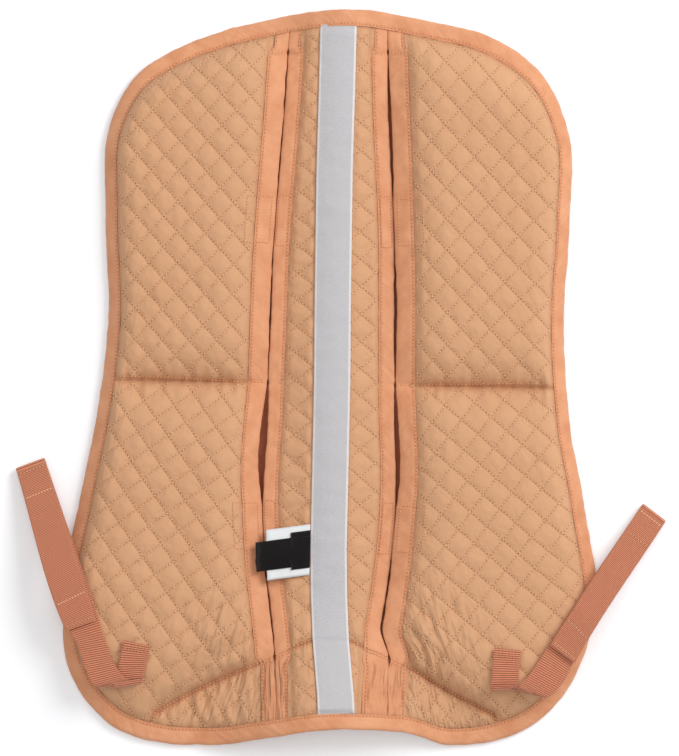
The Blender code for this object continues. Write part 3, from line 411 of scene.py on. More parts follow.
def smooth_curve(points, step):
    """Points about `step` apart on a smooth curve through the given ones."""
    points = np.array(points, float)
    chord = np.concatenate([[0], np.cumsum(np.linalg.norm(np.diff(points, axis=0), axis=1))])
    slopes = np.gradient(points, chord, axis=0)
    at = np.linspace(0, chord[-1], int(round(chord[-1] / step)) + 1)
    i = np.clip(np.searchsorted(chord, at, side="right") - 1, 0, len(chord) - 2)
    length = (chord[i + 1] - chord[i])[:, None]
    t = ((at - chord[i]) / length[:, 0])[:, None]
    return (
        (1 + 2 * t) * (1 - t) ** 2 * points[i]
        + t * (1 - t) ** 2 * length * slopes[i]
        + t * t * (3 - 2 * t) * points[i + 1]
        + t * t * (t - 1) * length * slopes[i + 1]
    )


def lengths_along(path):
    steps = np.linalg.norm(np.diff(path, axis=0).reshape(len(path) - 1, -1), axis=1)
    return np.concatenate([[0], np.cumsum(steps)])


def middle_lengths(rails):
    """Lengths along the middle of a band that is given as rows of its two edges."""
    return lengths_along(rails.mean(axis=1))


def at_lengths(path, at, along=None):
    """The path's rows at the given lengths along it, where its own lengths aren't given."""
    path = np.asarray(path, float)
    along = lengths_along(path) if along is None else along
    columns = [np.interp(at, along, column) for column in path.reshape(len(path), -1).T]
    return np.stack(columns, axis=1).reshape(len(at), *path.shape[1:])


def half_outline():
    """Close points of the outline, cantle to withers, a little past the spine at both ends, and the inward
    direction at each."""
    before = (-OUTLINE[1][0], OUTLINE[1][1])
    after = (-OUTLINE[-2][0], OUTLINE[-2][1])
    line = smooth_curve((before, *OUTLINE, after), 1 * MM)
    heading = unit(np.gradient(line, axis=0))
    return line, np.stack([heading[:, 1], -heading[:, 0]], axis=1)


EDGE, EDGE_INWARD = half_outline()
EDGE_LENGTH = lengths_along(EDGE)
SLIT_LINE = smooth_curve(SLIT, 2 * MM)
EDGE_TREE = kdtree.KDTree(len(EDGE))
for number, (edge_x, edge_y) in enumerate(EDGE):
    EDGE_TREE.insert((edge_x, edge_y, 0), number)
EDGE_TREE.balance()


def slit_at(y):
    return np.interp(y, SLIT_LINE[::-1, 0], SLIT_LINE[::-1, 1])


def tilt_of(inward):
    """How far the bound edge leans up, most at the pad's sides."""
    return SIDE_TILT * inward[..., 0] ** 2


class Spot:
    """Points of the pad in plan, with their place from the bound edge and from the slit."""

    def __init__(self, x, y):
        self.x, self.y = np.broadcast_arrays(np.asarray(x, float), np.asarray(y, float))
        flat = np.stack([np.abs(self.x).ravel(), self.y.ravel()], axis=1)
        nearest = np.array([EDGE_TREE.find((a, b, 0))[1] for a, b in flat.tolist()])
        inward = EDGE_INWARD[nearest]
        offset = flat - EDGE[nearest]
        self.inside = (offset * inward).sum(axis=1).reshape(self.x.shape)
        slide = offset[:, 1] * inward[:, 0] - offset[:, 0] * inward[:, 1]
        self.along = (EDGE_LENGTH[nearest] + slide).reshape(self.x.shape)
        self.tilt = tilt_of(inward).reshape(self.x.shape)
        self.inward = inward.reshape(*self.x.shape, 2)
        self.seam = EDGE_WIDTH * np.cos(self.tilt)
        self.past_edge = self.inside - self.seam
        self.slit = slit_at(self.y)
        self.past = np.abs(self.x) - self.slit

    def past_lip(self, lip):
        """Distance from the inner edge of a lip's binding into the cloth that it binds."""
        return LIPS[lip] * self.past - SLIT_HALF_GAP - SLIT_WIDTH[lip]


def drawn_out(points):
    """The points moved in plan as the real pad departs from its even outline, less and less away from the
    edge."""
    points = np.array(points, float)
    p = Spot(points[..., 0], points[..., 1])
    outline = (np.array(DRAWN_OUT[side]).T * MM for side in SIDES)
    out = np.where(p.x < 0, *(np.interp(p.along, *drawn) for drawn in outline))
    out = out * smooth(1 - p.inside / DRAWN_REACH)
    points[..., 0] -= out * p.inward[..., 0] * np.where(p.x < 0, -1, 1)
    points[..., 1] -= out * p.inward[..., 1]
    share = smooth((p.x - LEAN_ACROSS[0]) / LEAN_ACROSS[1])
    share = share * smooth((p.slit + LEAN_FADES[0] - p.x) / LEAN_FADES[1])
    points[..., 0] += LEAN * smooth((LEAN_FROM - p.y) / LEAN_RUN) * share
    return points


def arch(p):
    """Rise of the pad over the spine, which grows and widens towards the withers."""
    front = OUTLINE[-3][1]
    rise = RIDGE + WITHERS_RISE * smooth((WITHERS_RUN + front - p.y) / WITHERS_RUN)
    spread = smooth((WITHERS_RUN * 1.4 + front - p.y) / (WITHERS_RUN * 1.3))
    half = RIDGE_HALF_WIDTH + (WITHERS_HALF_WIDTH - RIDGE_HALF_WIDTH) * spread
    return rise * np.cos(np.clip(np.abs(p.x) / half, 0, 1) * math.pi / 2) ** 2


def shell_top(p):
    """Top of the lower shell: flat under the foam, arched at the spine and raised to the bound edge."""
    lean = EDGE_WIDTH * np.sin(p.tilt)
    at_edge = EDGE_LEVEL - SHELL
    leaning = at_edge + lean * np.clip(p.inside / p.seam, -1, 1)
    falling = (at_edge + lean) * (1 - smooth(p.past_edge / RIM_FALL))
    return SHELL + arch(p) + np.where(p.past_edge < 0, leaning, falling)


def pinned(y):
    """0 where the slit's two lips are sewn down together, 1 between."""
    ends = smooth((REAR_BAR - y) / LIP_RUN) * smooth((y - SLIT_FRONT) / LIP_RUN)
    return ends * smooth(np.abs(y - MIDDLE_SEAM) / LIP_RUN)


def front_seam():
    """The slanting front seam of a pocket, and its short straight end at the bound edge."""
    start = (float(slit_at(SLIT_FRONT)), SLIT_FRONT)
    return ((start, FRONT_SEAM_CORNER), (FRONT_SEAM_CORNER, FRONT_SEAM_END))


def panel_seam_at(x):
    """Where the front seam crosses the spine panels."""
    across, along = np.array(PANEL_FRONT_SEAM).T * MM
    return np.interp(x, across, along)


def behind_front_seam(x, y):
    """Distance from the front seam into the pocket, and below 0 in the band that it closes off."""
    sides = []
    for (x0, y0), (x1, y1) in front_seam():
        length = math.hypot(x1 - x0, y1 - y0)
        sides.append(((np.abs(x) - x0) * (y0 - y1) + (y - y0) * (x1 - x0)) / length)
    return np.maximum(*sides)


def behind_seam(p):
    """Distance behind the front seam, on the covers and on the spine panels."""
    return np.where(p.past > 0, behind_front_seam(p.x, p.y), p.y - panel_seam_at(p.x))


def pocket(p):
    """Height that the foam adds under the cover."""
    lip = LIP_SHARE * pinned(p.y)
    outer = round_shoulder(p.past_edge / OUTER_RAMP, OUTER_ROUND)
    inner = lip + (1 - lip) * quarter_sine(p.past / INNER_RAMP)
    middle = 1 - MIDDLE_PINCH * np.exp(-np.abs(p.y - MIDDLE_SEAM) / MIDDLE_PINCH_RUN)
    return FOAM_RISE * outer * inner * middle * quarter_sine(behind_front_seam(p.x, p.y) / FRONT_RAMP)


def cover_bottom(p):
    return shell_top(p) + LAYER_ROOM + pocket(p)


def panel_bottom(p):
    reach = (p.past + SPINE_LIP_REACH) / SPINE_LIP_REACH
    return shell_top(p) + LAYER_ROOM + SPINE_LIP * pinned(p.y) * smooth(reach)


def wandered(x, y):
    """Where a point of the cloth lies in the even pattern that the quilting machine meant to sew."""
    return x + wrinkle("quilting wander", x, y), y + wrinkle("quilting wander", x, y, 5)


def row_distance(row, x, y):
    """Distance to the nearest stitched row of one direction."""
    angle, spacing, start = row
    angle = math.radians(angle)
    across = (x * math.cos(angle) + y * math.sin(angle) - start) / spacing
    return np.abs(across - np.round(across)) * spacing


def puff(panel, x, y):
    """Height share of the puffed diamonds: 0 on the stitched rows, close to 1 between them."""
    u, v = wandered(x, y)
    share = 1.0
    for row in QUILTS[panel]:
        share = share * (1 - np.exp(-row_distance(row, u, v) / VALLEY))
    return share / (1 - math.exp(-DIAMOND / 2 / VALLEY)) ** 2


def zone_puff(side, p):
    """The puffs of a pocket cover, whose rear and front are quilted at their own angles."""
    rear = puff((side, "rear"), p.x, p.y)
    front = puff((side, "front"), p.x, p.y)
    return np.where(p.y > MIDDLE_SEAM, rear, front)


def tucked(past, run):
    """0 where the cloth lies squeezed in a binding, and 1 where it has its own thickness."""
    return smooth((past + SQUEEZED) / run)


def near_slit_end(p, past, behind, reach):
    """1 at a place beside the slit's front end, where it pulls the cloth most, and less around it."""
    return bell(np.hypot(p.past - past, p.y - SLIT_FRONT - behind), reach)


def bulge(behind, form):
    """The cloth swells up a little way behind the front seam."""
    height, middle, width, run = form
    return height * bell(behind - middle, width) * smooth(behind / run)


def cover_top(side, p):
    """Top of the quilted pocket cover, tucked under the bindings at its sides."""
    variant = SIDES[side]
    behind, from_middle = behind_front_seam(p.x, p.y), p.y - MIDDLE_SEAM
    band = smooth(-behind / (4 * MM))
    puffs = QUILT_RISE[side] * zone_puff(side, p) * (1 - 0.35 * band)
    creases = wrinkle("slanting crease", p.x + p.y * 0.5, p.y - p.x * 0.5, variant)
    creases = creases + wrinkle("broad swell", p.x, p.y, variant)
    stuffing = COVER - TUCKED - 0.3 * MM + puffs + creases + bulge(behind, COVER_BULGE)
    held = 1 - 0.8 * bell(from_middle, 3 * MM) - 0.95 * bell(behind, 3.5 * MM)
    by_lip, by_seams = bell(p.past_lip("cover"), 11 * MM), bell(from_middle, 11 * MM) + bell(behind, 15 * MM)
    gathers = wrinkle("edge gather", p.along, p.inside, variant) * bell(p.past_edge, 13 * MM)
    gathers = gathers + wrinkle("slit gather", p.y, p.past * 0.35, variant) * by_lip
    gathers = gathers + wrinkle("seam gather", p.x, p.y * 0.3, variant) * by_seams
    upright = wrinkle("upright fold", p.x + p.y * 0.2, p.y * 0.22, variant) * band
    pulled = wrinkle("pulled fold", p.x + p.y * 0.25 * variant, p.y * 0.22, variant)
    pulled = pulled * near_slit_end(p, 32 * MM, 14 * MM, 44 * MM)
    tuck = tucked(p.past_edge, 9 * MM) * tucked(p.past_lip("cover"), 9 * MM)
    loft = (stuffing * held + gathers + upright + pulled) * tuck
    return cover_bottom(p) + np.maximum(TUCKED + loft, THINNEST)


def panel_top(p):
    """Top of the quilted spine panels, tucked under the slit bindings and held flat under the tape."""
    behind = p.y - panel_seam_at(p.x)
    puffs = np.where(p.x < 0, puff(("left", "spine"), p.x, p.y), puff(("right", "spine"), p.x, p.y))
    loft = QUILT_RISE["right"] * puffs + wrinkle("panel crease", p.x * 0.4, p.y)
    loft = loft + wrinkle("panel swell", p.x, p.y)
    loft = loft + wrinkle("panel gather", p.x, p.y * 0.3) * bell(behind, 12 * MM)
    loft = loft + bulge(behind, PANEL_BULGE)
    clear_of_tape = smooth((np.abs(p.x - tape_centre(p.y)) - TAPE_WIDTH / 2 + 1 * MM) / (6 * MM))
    stuffing = SPINE_PANEL - TUCKED - 0.2 * MM + loft * clear_of_tape
    tuck = tucked(p.past_edge, 8 * MM) * tucked(p.past_lip("spine"), 7 * MM)
    held = 1 - 0.8 * bell(behind, 3 * MM)
    return panel_bottom(p) + np.maximum(TUCKED + stuffing * tuck * held, THINNEST)


def shell_under(p):
    """The quilted underside, whose puffs reach the ground."""
    hollow = UNDER_RISE * (1 - puff(("both", "underside"), p.x, p.y))
    return shell_top(p) - SHELL_TUCKED - (SHELL - SHELL_TUCKED - hollow) * tucked(p.past_edge, 8 * MM)


def tape_centre(y):
    """The spine tape runs true, and wanders to the right over the withers."""
    along, across = np.array(TAPE_WANDER).T * MM
    return np.interp(-y, -along, across)


def opening(side, y):
    """How far each lip is drawn back from the slit's line."""
    width = 0 * y
    for start, end, widths in OPENINGS:
        share = np.clip((start - y) / (start - end), 0, 1)
        width = width + widths[side] * np.sin(math.pi * share) ** 0.8
    return width


def grid_faces(rows, columns, around=False):
    """Quads of a grid of points, joined round its columns if it is a tube."""
    i = np.arange(rows - 1)[:, None]
    j = np.arange(columns if around else columns - 1)[None]
    k = (j + 1) % columns
    corners = (i * columns + j, i * columns + k, (i + 1) * columns + k, (i + 1) * columns + j)
    return np.stack(np.broadcast_arrays(*corners), axis=-1).reshape(-1, 4)


def make(name, points, faces, lie, finish):
    """A smooth mesh piece from points in the frame. The attribute `lie` keeps its cloth's own coordinates."""
    points = np.asarray(points, float).reshape(-1, 3)
    mesh = bpy.data.meshes.new(name)
    mesh.from_pydata(points.tolist(), [], faces if isinstance(faces, list) else faces.tolist())
    attribute = mesh.attributes.new("lie", "FLOAT_VECTOR", "POINT")
    attribute.data.foreach_set("vector", np.asarray(lie, np.float32).ravel())
    mesh.shade_smooth()
    mesh.materials.append(finish)
    piece = bpy.data.objects.new(name, mesh)
    bpy.context.scene.collection.objects.link(piece)
    return piece


def place(points):
    """From the pad's own plan, measured from the spine seam, into the frame."""
    return points + np.array([SPINE_X, 0, 0])


def cut_grid(region, box, step):
    """Plan points and quads of a square grid cut to a region; the outer points are drawn onto its border.
    `region` gives the distance inside the border."""
    x, y = np.meshgrid(*(np.arange(start, end, step) for start, end in zip(*box)), indexing="ij")
    kept = region(x, y) > -0.45 * step
    quads = grid_faces(*x.shape)[:, ::-1]
    quads = quads[kept.ravel()[quads].all(axis=1)]
    used, quads = np.unique(quads, return_inverse=True)
    quads = quads.reshape(-1, 4)
    x, y = x.ravel()[used], y.ravel()[used]
    rim = np.bincount(quads.ravel(), minlength=len(x)) < 4
    for _ in range(2):
        rim_x, rim_y = x[rim], y[rim]
        depth, small = region(rim_x, rim_y), step / 8
        slope_x = (region(rim_x + small, rim_y) - depth) / small
        slope_y = (region(rim_x, rim_y + small) - depth) / small
        size = np.maximum(np.hypot(slope_x, slope_y), 0.3)
        reach = np.clip(depth / size, -step, step)
        x[rim], y[rim] = rim_x - reach * slope_x / size, rim_y - reach * slope_y / size
    return x, y, quads


def rim_edges(quads):
    """Directed edges that only one face has."""
    edges = np.concatenate([quads[:, [k, (k + 1) % 4]] for k in range(4)])
    code = edges[:, 0] * (quads.max() + 1) + edges[:, 1]
    back = edges[:, 1] * (quads.max() + 1) + edges[:, 0]
    return edges[~np.isin(code, back)]


def drawn_in(p, slit_share):
    """Share, from 0 to 1, of painted shade on the cloth beside a seam or a binding. Beside the slit it
    reaches `slit_share`."""
    beside_edge = bell(p.past_edge - 0.3 * MM, 1.6 * MM)
    width = np.where(p.past > 0, *SLIT_WIDTH.values())
    beside_slit = bell(np.abs(p.past) - SLIT_HALF_GAP - width, 1.3 * MM)
    at_front = bell(behind_seam(p), 2.0 * MM)
    at_middle = bell(p.y - MIDDLE_SEAM, 1.8 * MM) * (p.past > 0)
    return np.maximum.reduce([0.55 * beside_edge, slit_share * beside_slit, at_front, 0.7 * at_middle])


def pulled(p):
    """Share, from 0 to 1, in which the cloth is drawn into fine folds that run along the spine."""
    behind = behind_seam(p)
    beyond = smooth(-behind / (3 * MM)) * np.where(p.past > 0, 1, 0.4)
    by_slit_end = near_slit_end(p, 30 * MM, 12 * MM, 46 * MM)
    by_seam, by_edge = 0.8 * bell(behind, 16 * MM), 0.35 * bell(p.past_edge, 22 * MM)
    return np.maximum.reduce([by_slit_end, by_seam, beyond, by_edge])


def quilted_sheet(name, finish, region, box, step, top, bottom, inside_shaded="below"):
    """A closed sheet between two heights, cut to a region. Its inner side is painted dark, as painted shade.
    """
    x, y, quads = cut_grid(region, box, step)
    p = Spot(x, y)
    count = len(x)
    edges = rim_edges(quads)
    sides = np.stack([edges[:, 1], edges[:, 0], edges[:, 0] + count, edges[:, 1] + count], axis=1)
    faces = np.concatenate([quads, quads[:, ::-1] + count, sides])
    points = np.concatenate([np.stack([x, y, surface(p)], axis=1) for surface in (top, bottom)])
    u, v = wandered(x, y)
    # The third part of the cloth's coordinates is 1 on the side that is painted dark as painted shade
    lie = np.concatenate([np.stack([u, v, 0 * x + (inside_shaded == side)], axis=1) for side in ("above", "below")])
    piece = make(name, place(drawn_out(points)), faces, lie, finish)
    # The first share is painted shade beside seams and bindings; the second drives the bump of fine folds
    shade = drawn_in(p, SLIT_SHADE if inside_shaded == "below" else 0.0)
    for kept, share in (("drawn_in", shade), ("pulled", pulled(p))):
        attribute = piece.data.attributes.new(kept, "FLOAT", "POINT")
        attribute.data.foreach_set("value", np.tile(share, 2).astype(np.float32))
    return piece


def tube(name, finish, rings, lie):
    """A solid through rings of points, with both of its ends closed."""
    rows, columns = rings.shape[:2]
    faces = grid_faces(rows, columns, around=True).tolist()
    faces += [list(range(columns)), list(range(rows * columns - 1, (rows - 1) * columns - 1, -1))]
    return faced_outward(make(name, place(rings.reshape(-1, 3)), faces, lie.reshape(-1, 3), finish))


def ringed(upper, lower):
    """Rings round a band, from the rows of its upper and its lower side."""
    return np.concatenate([upper, lower[:, ::-1]], axis=1)


def faced_outward(piece):
    form = bmesh.new()
    form.from_mesh(piece.data)
    bmesh.ops.recalc_face_normals(form, faces=form.faces)
    form.to_mesh(piece.data)
    form.free()
    return piece


def stitch_places(runs, pitch, length):
    """Middle and direction of every stitch on the given runs. A run is plan points close together."""
    ends = []
    for run in runs:
        total = lengths_along(run)[-1]
        count = int(total / pitch)
        if count:
            at = (np.arange(count) + 0.5) * total / count
            ends.append([at_lengths(run, at + length / 2), at_lengths(run, at - length / 2)])
    ahead, back = np.concatenate(ends, axis=1)
    return (ahead + back) / 2, unit(ahead - back)


def stitch_rows(name, finish, runs, surface, thread, facing=1, sides=5):
    """Every stitch of the given runs as a short arched length of thread. `surface` gives the height of the
    cloth, and facing is -1 on the underside."""
    pitch, length, radius = thread
    middle, direction = stitch_places(runs, pitch, length)
    share = np.array([-0.5, -0.33, 0.0, 0.33, 0.5])
    thick = radius * np.array([0.55, 0.9, 1.0, 0.9, 0.55])
    lift = radius * (0.7 - 0.8 * np.abs(2 * share) ** 3) * facing
    centre = middle[:, None] + direction[:, None] * (share * length)[None, :, None]
    z = surface(centre[..., 0], centre[..., 1]) + lift
    met = ~np.isnan(z).any(axis=1)
    middle, direction, centre, z = middle[met], direction[met], centre[met], z[met]
    across = np.stack([-direction[:, 1], direction[:, 0]], axis=1)[:, None, None]
    turn = np.arange(sides) * 2 * math.pi / sides
    level = centre[:, :, None] + across * (thick[:, None] * np.cos(turn))[None, :, :, None]
    height = z[:, :, None] + (thick[:, None] * np.sin(turn))[None]
    points = np.concatenate([level, height[..., None]], axis=-1)
    each = len(share) * sides
    start = (np.arange(len(middle)) * each)[:, None, None]
    faces = (grid_faces(len(share), sides, around=True)[None] + start).reshape(-1, 4).tolist()
    for end in (np.arange(sides)[::-1], np.arange(sides) + each - sides):
        faces += (end[None] + start[:, 0]).tolist()
    along, round_it, where = (share * length)[None, :, None], turn * radius, middle[:, None, None, 0]
    lie = np.stack(np.broadcast_arrays(along, round_it, where), axis=-1)
    return make(name, place(points.reshape(-1, 3)), faces, lie.reshape(-1, 3), finish)


def pad_stitches(name, finish, runs, *rest):
    """Rows of stitches in the pad's own cloth."""
    return stitch_rows(name, finish, [drawn_out(run) for run in runs], *rest)


def quilt_runs(rows, region, box):
    """Stitched rows across a box in plan, cut to where `region` is above 0."""
    runs, (low, high) = [], box
    reach = math.hypot(high[0] - low[0], high[1] - low[1])
    corners = [(x, y) for x in (low[0], high[0]) for y in (low[1], high[1])]
    middle = ((low[0] + high[0]) / 2, (low[1] + high[1]) / 2)
    at = np.arange(-reach / 2, reach / 2, ROW_STEP)
    for angle, spacing, start in rows:
        turn = math.radians(angle)
        normal, heading = (math.cos(turn), math.sin(turn)), (-math.sin(turn), math.cos(turn))
        reached = [x * normal[0] + y * normal[1] - start for x, y in corners]
        for number in range(math.ceil(min(reached) / spacing), math.floor(max(reached) / spacing) + 1):
            off = start + number * spacing - middle[0] * normal[0] - middle[1] * normal[1]
            u, v = (middle[k] + normal[k] * off + heading[k] * at for k in (0, 1))
            shift_x, shift_y = wandered(u, v)
            x, y = 2 * u - shift_x, 2 * v - shift_y
            inside = region(x, y) > 0
            for part in np.split(np.arange(len(at)), np.flatnonzero(np.diff(inside)) + 1):
                if inside[part[0]] and len(part) > FEWEST_POINTS:
                    runs.append(np.stack([x[part], y[part]], axis=1))
    return runs


def cloth_region(margin, *lips):
    """Distance inside the border of the pad's cloth, which lies this far under the edge binding and under
    the bindings of the given lips."""

    def region(x, y):
        p = Spot(x, y)
        return np.minimum.reduce([p.past_edge, *(p.past_lip(lip) for lip in lips)]) + margin

    return region


def cover_region(side, margin):
    """The same for the pocket cover of one side."""
    cloth = cloth_region(margin, "cover")
    return lambda x, y: np.minimum(cloth(x, y), x * SIDES[side] - COVER_START)


def half_box(side):
    """Corners in plan of a box that holds one pocket cover."""
    low, high = PAD_BOX
    if side == "left":
        return low, (-COVER_START, high[1])
    return (COVER_START, low[1]), high


def edge_loop(overlap=0.0):
    """The whole outline from the lapped join round to it again and on by the overlap: places, inward
    directions and lengths."""
    own = np.flatnonzero(EDGE[:, 0] >= 0)
    right, inward = EDGE[own[0] : own[-1] + 1], EDGE_INWARD[own[0] : own[-1] + 1]
    turned = np.array([-1, 1])
    loop = np.concatenate([right, right[-2:0:-1] * turned])
    inward = np.concatenate([inward, inward[-2:0:-1] * turned])
    start = int(np.argmin(np.hypot(loop[:, 0] + LAP_HALF_WIDTH, loop[:, 1] - OUTLINE[1][1])))
    loop, inward = (np.concatenate([np.roll(rows, -start, axis=0)] * 2) for rows in (loop, inward))
    length = lengths_along(loop)
    total = length[len(loop) // 2]
    at = np.linspace(0, total + overlap, int((total + overlap) / BINDING_STEP) + 1)
    return at_lengths(loop, at, length), unit(at_lengths(inward, at, length)), at


def folded_profile(width, top, bottom, nose, cloth):
    """Cross-section of a folded tape, open at its back, where it holds the cloth: distances from the nose,
    heights, the two parts of the outward direction that its leaf moves in, and lengths around it."""
    wide = width * np.array([1, 0.965, 0.93, 0.88, 0.82, 0.74, 0.64, 0.52, 0.4, 0.3])
    rows = [(w, top, 0, 1) for w in wide]
    middle, half = (top + bottom) / 2, (top - bottom) / 2
    for turn in np.radians(np.arange(72, -73, -24)):
        back, up = math.cos(turn), math.sin(turn)
        rows.append((nose * (1 - back), middle + half * up, -back, up))
    rows += [(w, bottom, 0, -1) for w in wide[::-1]]
    rows += [(w, bottom + cloth, 0, -1) for w in wide[:-2]]
    rows += [(w, top - cloth, 0, 1) for w in wide[-3::-1]]
    profile = np.array(rows)
    return *profile.T[:, None], lengths_along(profile[:, :2])[None]


def edge_swell(p, from_nose):
    """How far the edge binding stands off its even form: drag wrinkles and the stitched groove."""
    variant = 5 * (p.x < 0)
    waves = wrinkle("edge pucker", p.along, from_nose, variant) * bell(from_nose - EDGE_STITCH, 4 * MM)
    waves = waves + wrinkle("edge drag", p.along + from_nose * 0.8, from_nose, variant)
    waves = waves + wrinkle("edge crease", p.along + from_nose, from_nose, variant)
    return waves * smooth(np.abs(p.x) / (8 * MM)) - 0.55 * MM * bell(from_nose - EDGE_STITCH, 1.3 * MM)


def edge_binding(finish):
    """The bias tape all round the pad, folded over the edge and drawn in by its stitches, its last end lapped
    over its first."""
    line, inward, at = edge_loop(LAP)
    from_nose, lift, outward, upward, around = folded_profile(
        EDGE_WIDTH, EDGE_TOPSIDE, -EDGE_UNDER, nose=3.0 * MM, cloth=0.55 * MM
    )
    level = from_nose * np.cos(tilt_of(inward))[:, None]
    plan = line[:, None] + inward[:, None] * level[..., None]
    out = edge_swell(Spot(plan[..., 0], plan[..., 1]), from_nose)
    last = smooth((at - at[-1] + LAP + 2 * MM) / (2 * MM))[:, None]
    out = out + 0.65 * MM * last - 0.12 * MM * smooth((LAP - at) / (3 * MM))[:, None]
    plan = plan + inward[:, None] * (out * outward)[..., None]
    z = shell_top(Spot(plan[..., 0], plan[..., 1])) + lift + out * upward
    lie = np.stack(np.broadcast_arrays(at[:, None], around, 0 * z), axis=-1)
    return tube("edge_binding", finish, drawn_out(np.concatenate([plan, z[..., None]], axis=-1)), lie)


def edge_stitch_run():
    line, inward, _ = edge_loop()
    return line + inward * (EDGE_STITCH * np.cos(tilt_of(inward)))[:, None]


def slit_ends(past):
    """Places along the spine where a line beside the slit runs under the edge binding, cantle and withers."""
    y = np.linspace(PAD_BOX[1][1], PAD_BOX[0][1], 1500)
    p = Spot(slit_at(y) + past, y)
    held = np.flatnonzero(p.inside > 6 * MM)
    return y[held[0]], y[held[-1]]


def lip_variant(side, lip):
    """Gives each of the four slit bindings wrinkles of its own."""
    return 3 * SIDES[side] + LIPS[lip]


def past_line(side, lip, y, from_nose):
    """Signed distance past the slit's line of a place on a lip's binding, which is drawn back where the slit
    opens."""
    drawn = opening(side, y) * LIP_DRAWN[lip] + wrinkle("lip wander", y, 0 * y, lip_variant(side, lip))
    between = smooth((REAR_BAR - y) / (6 * MM)) * smooth((y - SLIT_FRONT) / (6 * MM))
    drawn = (drawn + LIPS_APART) * between
    at_cantle, at_withers = LIPS_SQUEEZED[side]
    squeezed = at_cantle * smooth((y - REAR_BAR) / (6 * MM))
    squeezed = squeezed + at_withers * smooth((SLIT_FRONT - y) / (8 * MM))
    from_nose = from_nose * (1 - squeezed)
    return LIPS[lip] * (drawn + from_nose * (1 - drawn / (SLIT_WIDTH[lip] * 1.6)))


def slit_swell(side, lip, x, y, from_nose):
    """How far a slit's binding stands off its even form: wrinkles, its stitched groove, and where it is held
    down by the seams that cross it."""
    variant, from_row = lip_variant(side, lip), from_nose - SLIT_WIDTH[lip] + ROW_INSET
    held = bell(y - MIDDLE_SEAM, 2.6 * MM) + bell(y - REAR_BAR, 2.2 * MM)
    held = held + bell(behind_front_seam(x, y), 2.6 * MM)
    waves = wrinkle("lip pucker", y, from_nose, variant) * bell(from_row, 4 * MM)
    waves = waves + wrinkle("lip drag", y + from_nose * 0.9, from_nose, variant)
    sewn_down = smooth((SLIT_FRONT - y) / (5 * MM)) + 0.5 * smooth((y - REAR_BAR) / (5 * MM))
    waves = waves + sewn_down * wrinkle("lip pleat", from_nose, y * 0.14, variant)
    closure = sum(bell(y - centre, CLOSURE_LENGTH * 0.45) for centre in CLOSURES.values())
    return waves * (1 - 0.5 * closure) - 0.45 * MM * bell(from_row, 1.2 * MM) - 1.1 * MM * held


def slit_binding(name, side, lip, finish):
    """Bias tape over one lip of a slit."""
    sign, way = SIDES[side], LIPS[lip]
    base = cover_bottom if lip == "cover" else panel_bottom
    start, end = slit_ends(way * SLIT_WIDTH[lip] / 2)
    y = np.linspace(start, end, int((start - end) / BINDING_STEP))[:, None]
    from_nose, lift, outward, upward, around = folded_profile(
        SLIT_WIDTH[lip], SLIT_OVER, -SLIT_UNDER, nose=1.5 * MM, cloth=0.45 * MM
    )
    x = slit_at(y) + past_line(side, lip, y, from_nose)
    out = slit_swell(side, lip, x, y, from_nose)
    x = x + way * out * outward
    p = Spot(x, y)
    flat = 1 - 0.7 * smooth((3 * MM - p.past_edge) / (4 * MM))
    rings = np.stack([x * sign, p.y, base(p) + (lift + out * upward) * flat], axis=-1)
    lie = np.stack(np.broadcast_arrays(y, around, 0 * x), axis=-1)
    if sign * way > 0:
        rings, lie = rings[:, ::-1], lie[:, ::-1]
    return tube(name, finish, drawn_out(rings), lie)


def beside_slit(side, lip, y, from_nose):
    """Plan points on a lip's binding."""
    return np.stack([SIDES[side] * (slit_at(y) + past_line(side, lip, y, from_nose)), y], axis=1)


def slit_rows(side):
    """The row along each of a slit's two bindings."""
    rows = []
    for lip, width in SLIT_WIDTH.items():
        y = np.arange(*slit_ends(LIPS[lip] * width), -ROW_STEP)
        rows.append(beside_slit(side, lip, y, width - ROW_INSET))
    return rows


def closure_boxes(side):
    """The closures' stitched boxes and the cross rows that hold the slit's ends."""
    runs = []
    for lip, (near, far) in CLOSURE_BOX.items():
        half = CLOSURE_LENGTH / 2 - LIPS[lip] * 1 * MM
        corners = [(near, half), (far, half), (far, -half), (near, -half), (near, half)]
        from_nose, y = at_lengths(corners, np.arange(0, 2 * (2 * half + far - near), ROW_STEP)).T
        for centre in CLOSURES.values():
            runs.append(beside_slit(side, lip, centre + CLOSURE_SHIFT + y, from_nose))
    past = np.linspace(-SLIT_WIDTH["spine"], SLIT_WIDTH["cover"], 60)
    across = SIDES[side] * (slit_at(REAR_BAR) + past)
    return runs + [np.stack([across, 0 * across + REAR_BAR + shift], axis=1) for shift in REAR_BAR_ROWS]


def seam_runs(side):
    """The middle seam and the double front seam of one pocket cover."""
    sign = SIDES[side]
    at_panel = (PANEL_ROW_END, panel_seam_at(PANEL_ROW_END * sign))
    x = np.arange(slit_at(MIDDLE_SEAM) + 2 * MM, MIDDLE_ROW_END, ROW_STEP)
    drift = 3 * MM * smooth((x - 55 * MM) / (110 * MM))
    runs = [np.stack([sign * x, MIDDLE_SEAM + drift], axis=1)]
    (start, corner), (_, end) = front_seam()
    for shift in FRONT_SEAM_ROWS:
        line = np.array([at_panel, start, corner, end]) + (0, shift)
        runs.append(at_lengths(line, np.arange(0, lengths_along(line)[-1], ROW_STEP)) * (sign, 1))
    return runs


def panel_seam_runs():
    """The front seam's two rows across the spine panels, on both sides of the tape."""
    runs = []
    for start, end in PANEL_ROWS:
        x = np.arange(start, end, ROW_STEP)
        runs += [np.stack([x, panel_seam_at(x) + shift], axis=1) for shift in PANEL_SEAM_ROWS]
    return runs


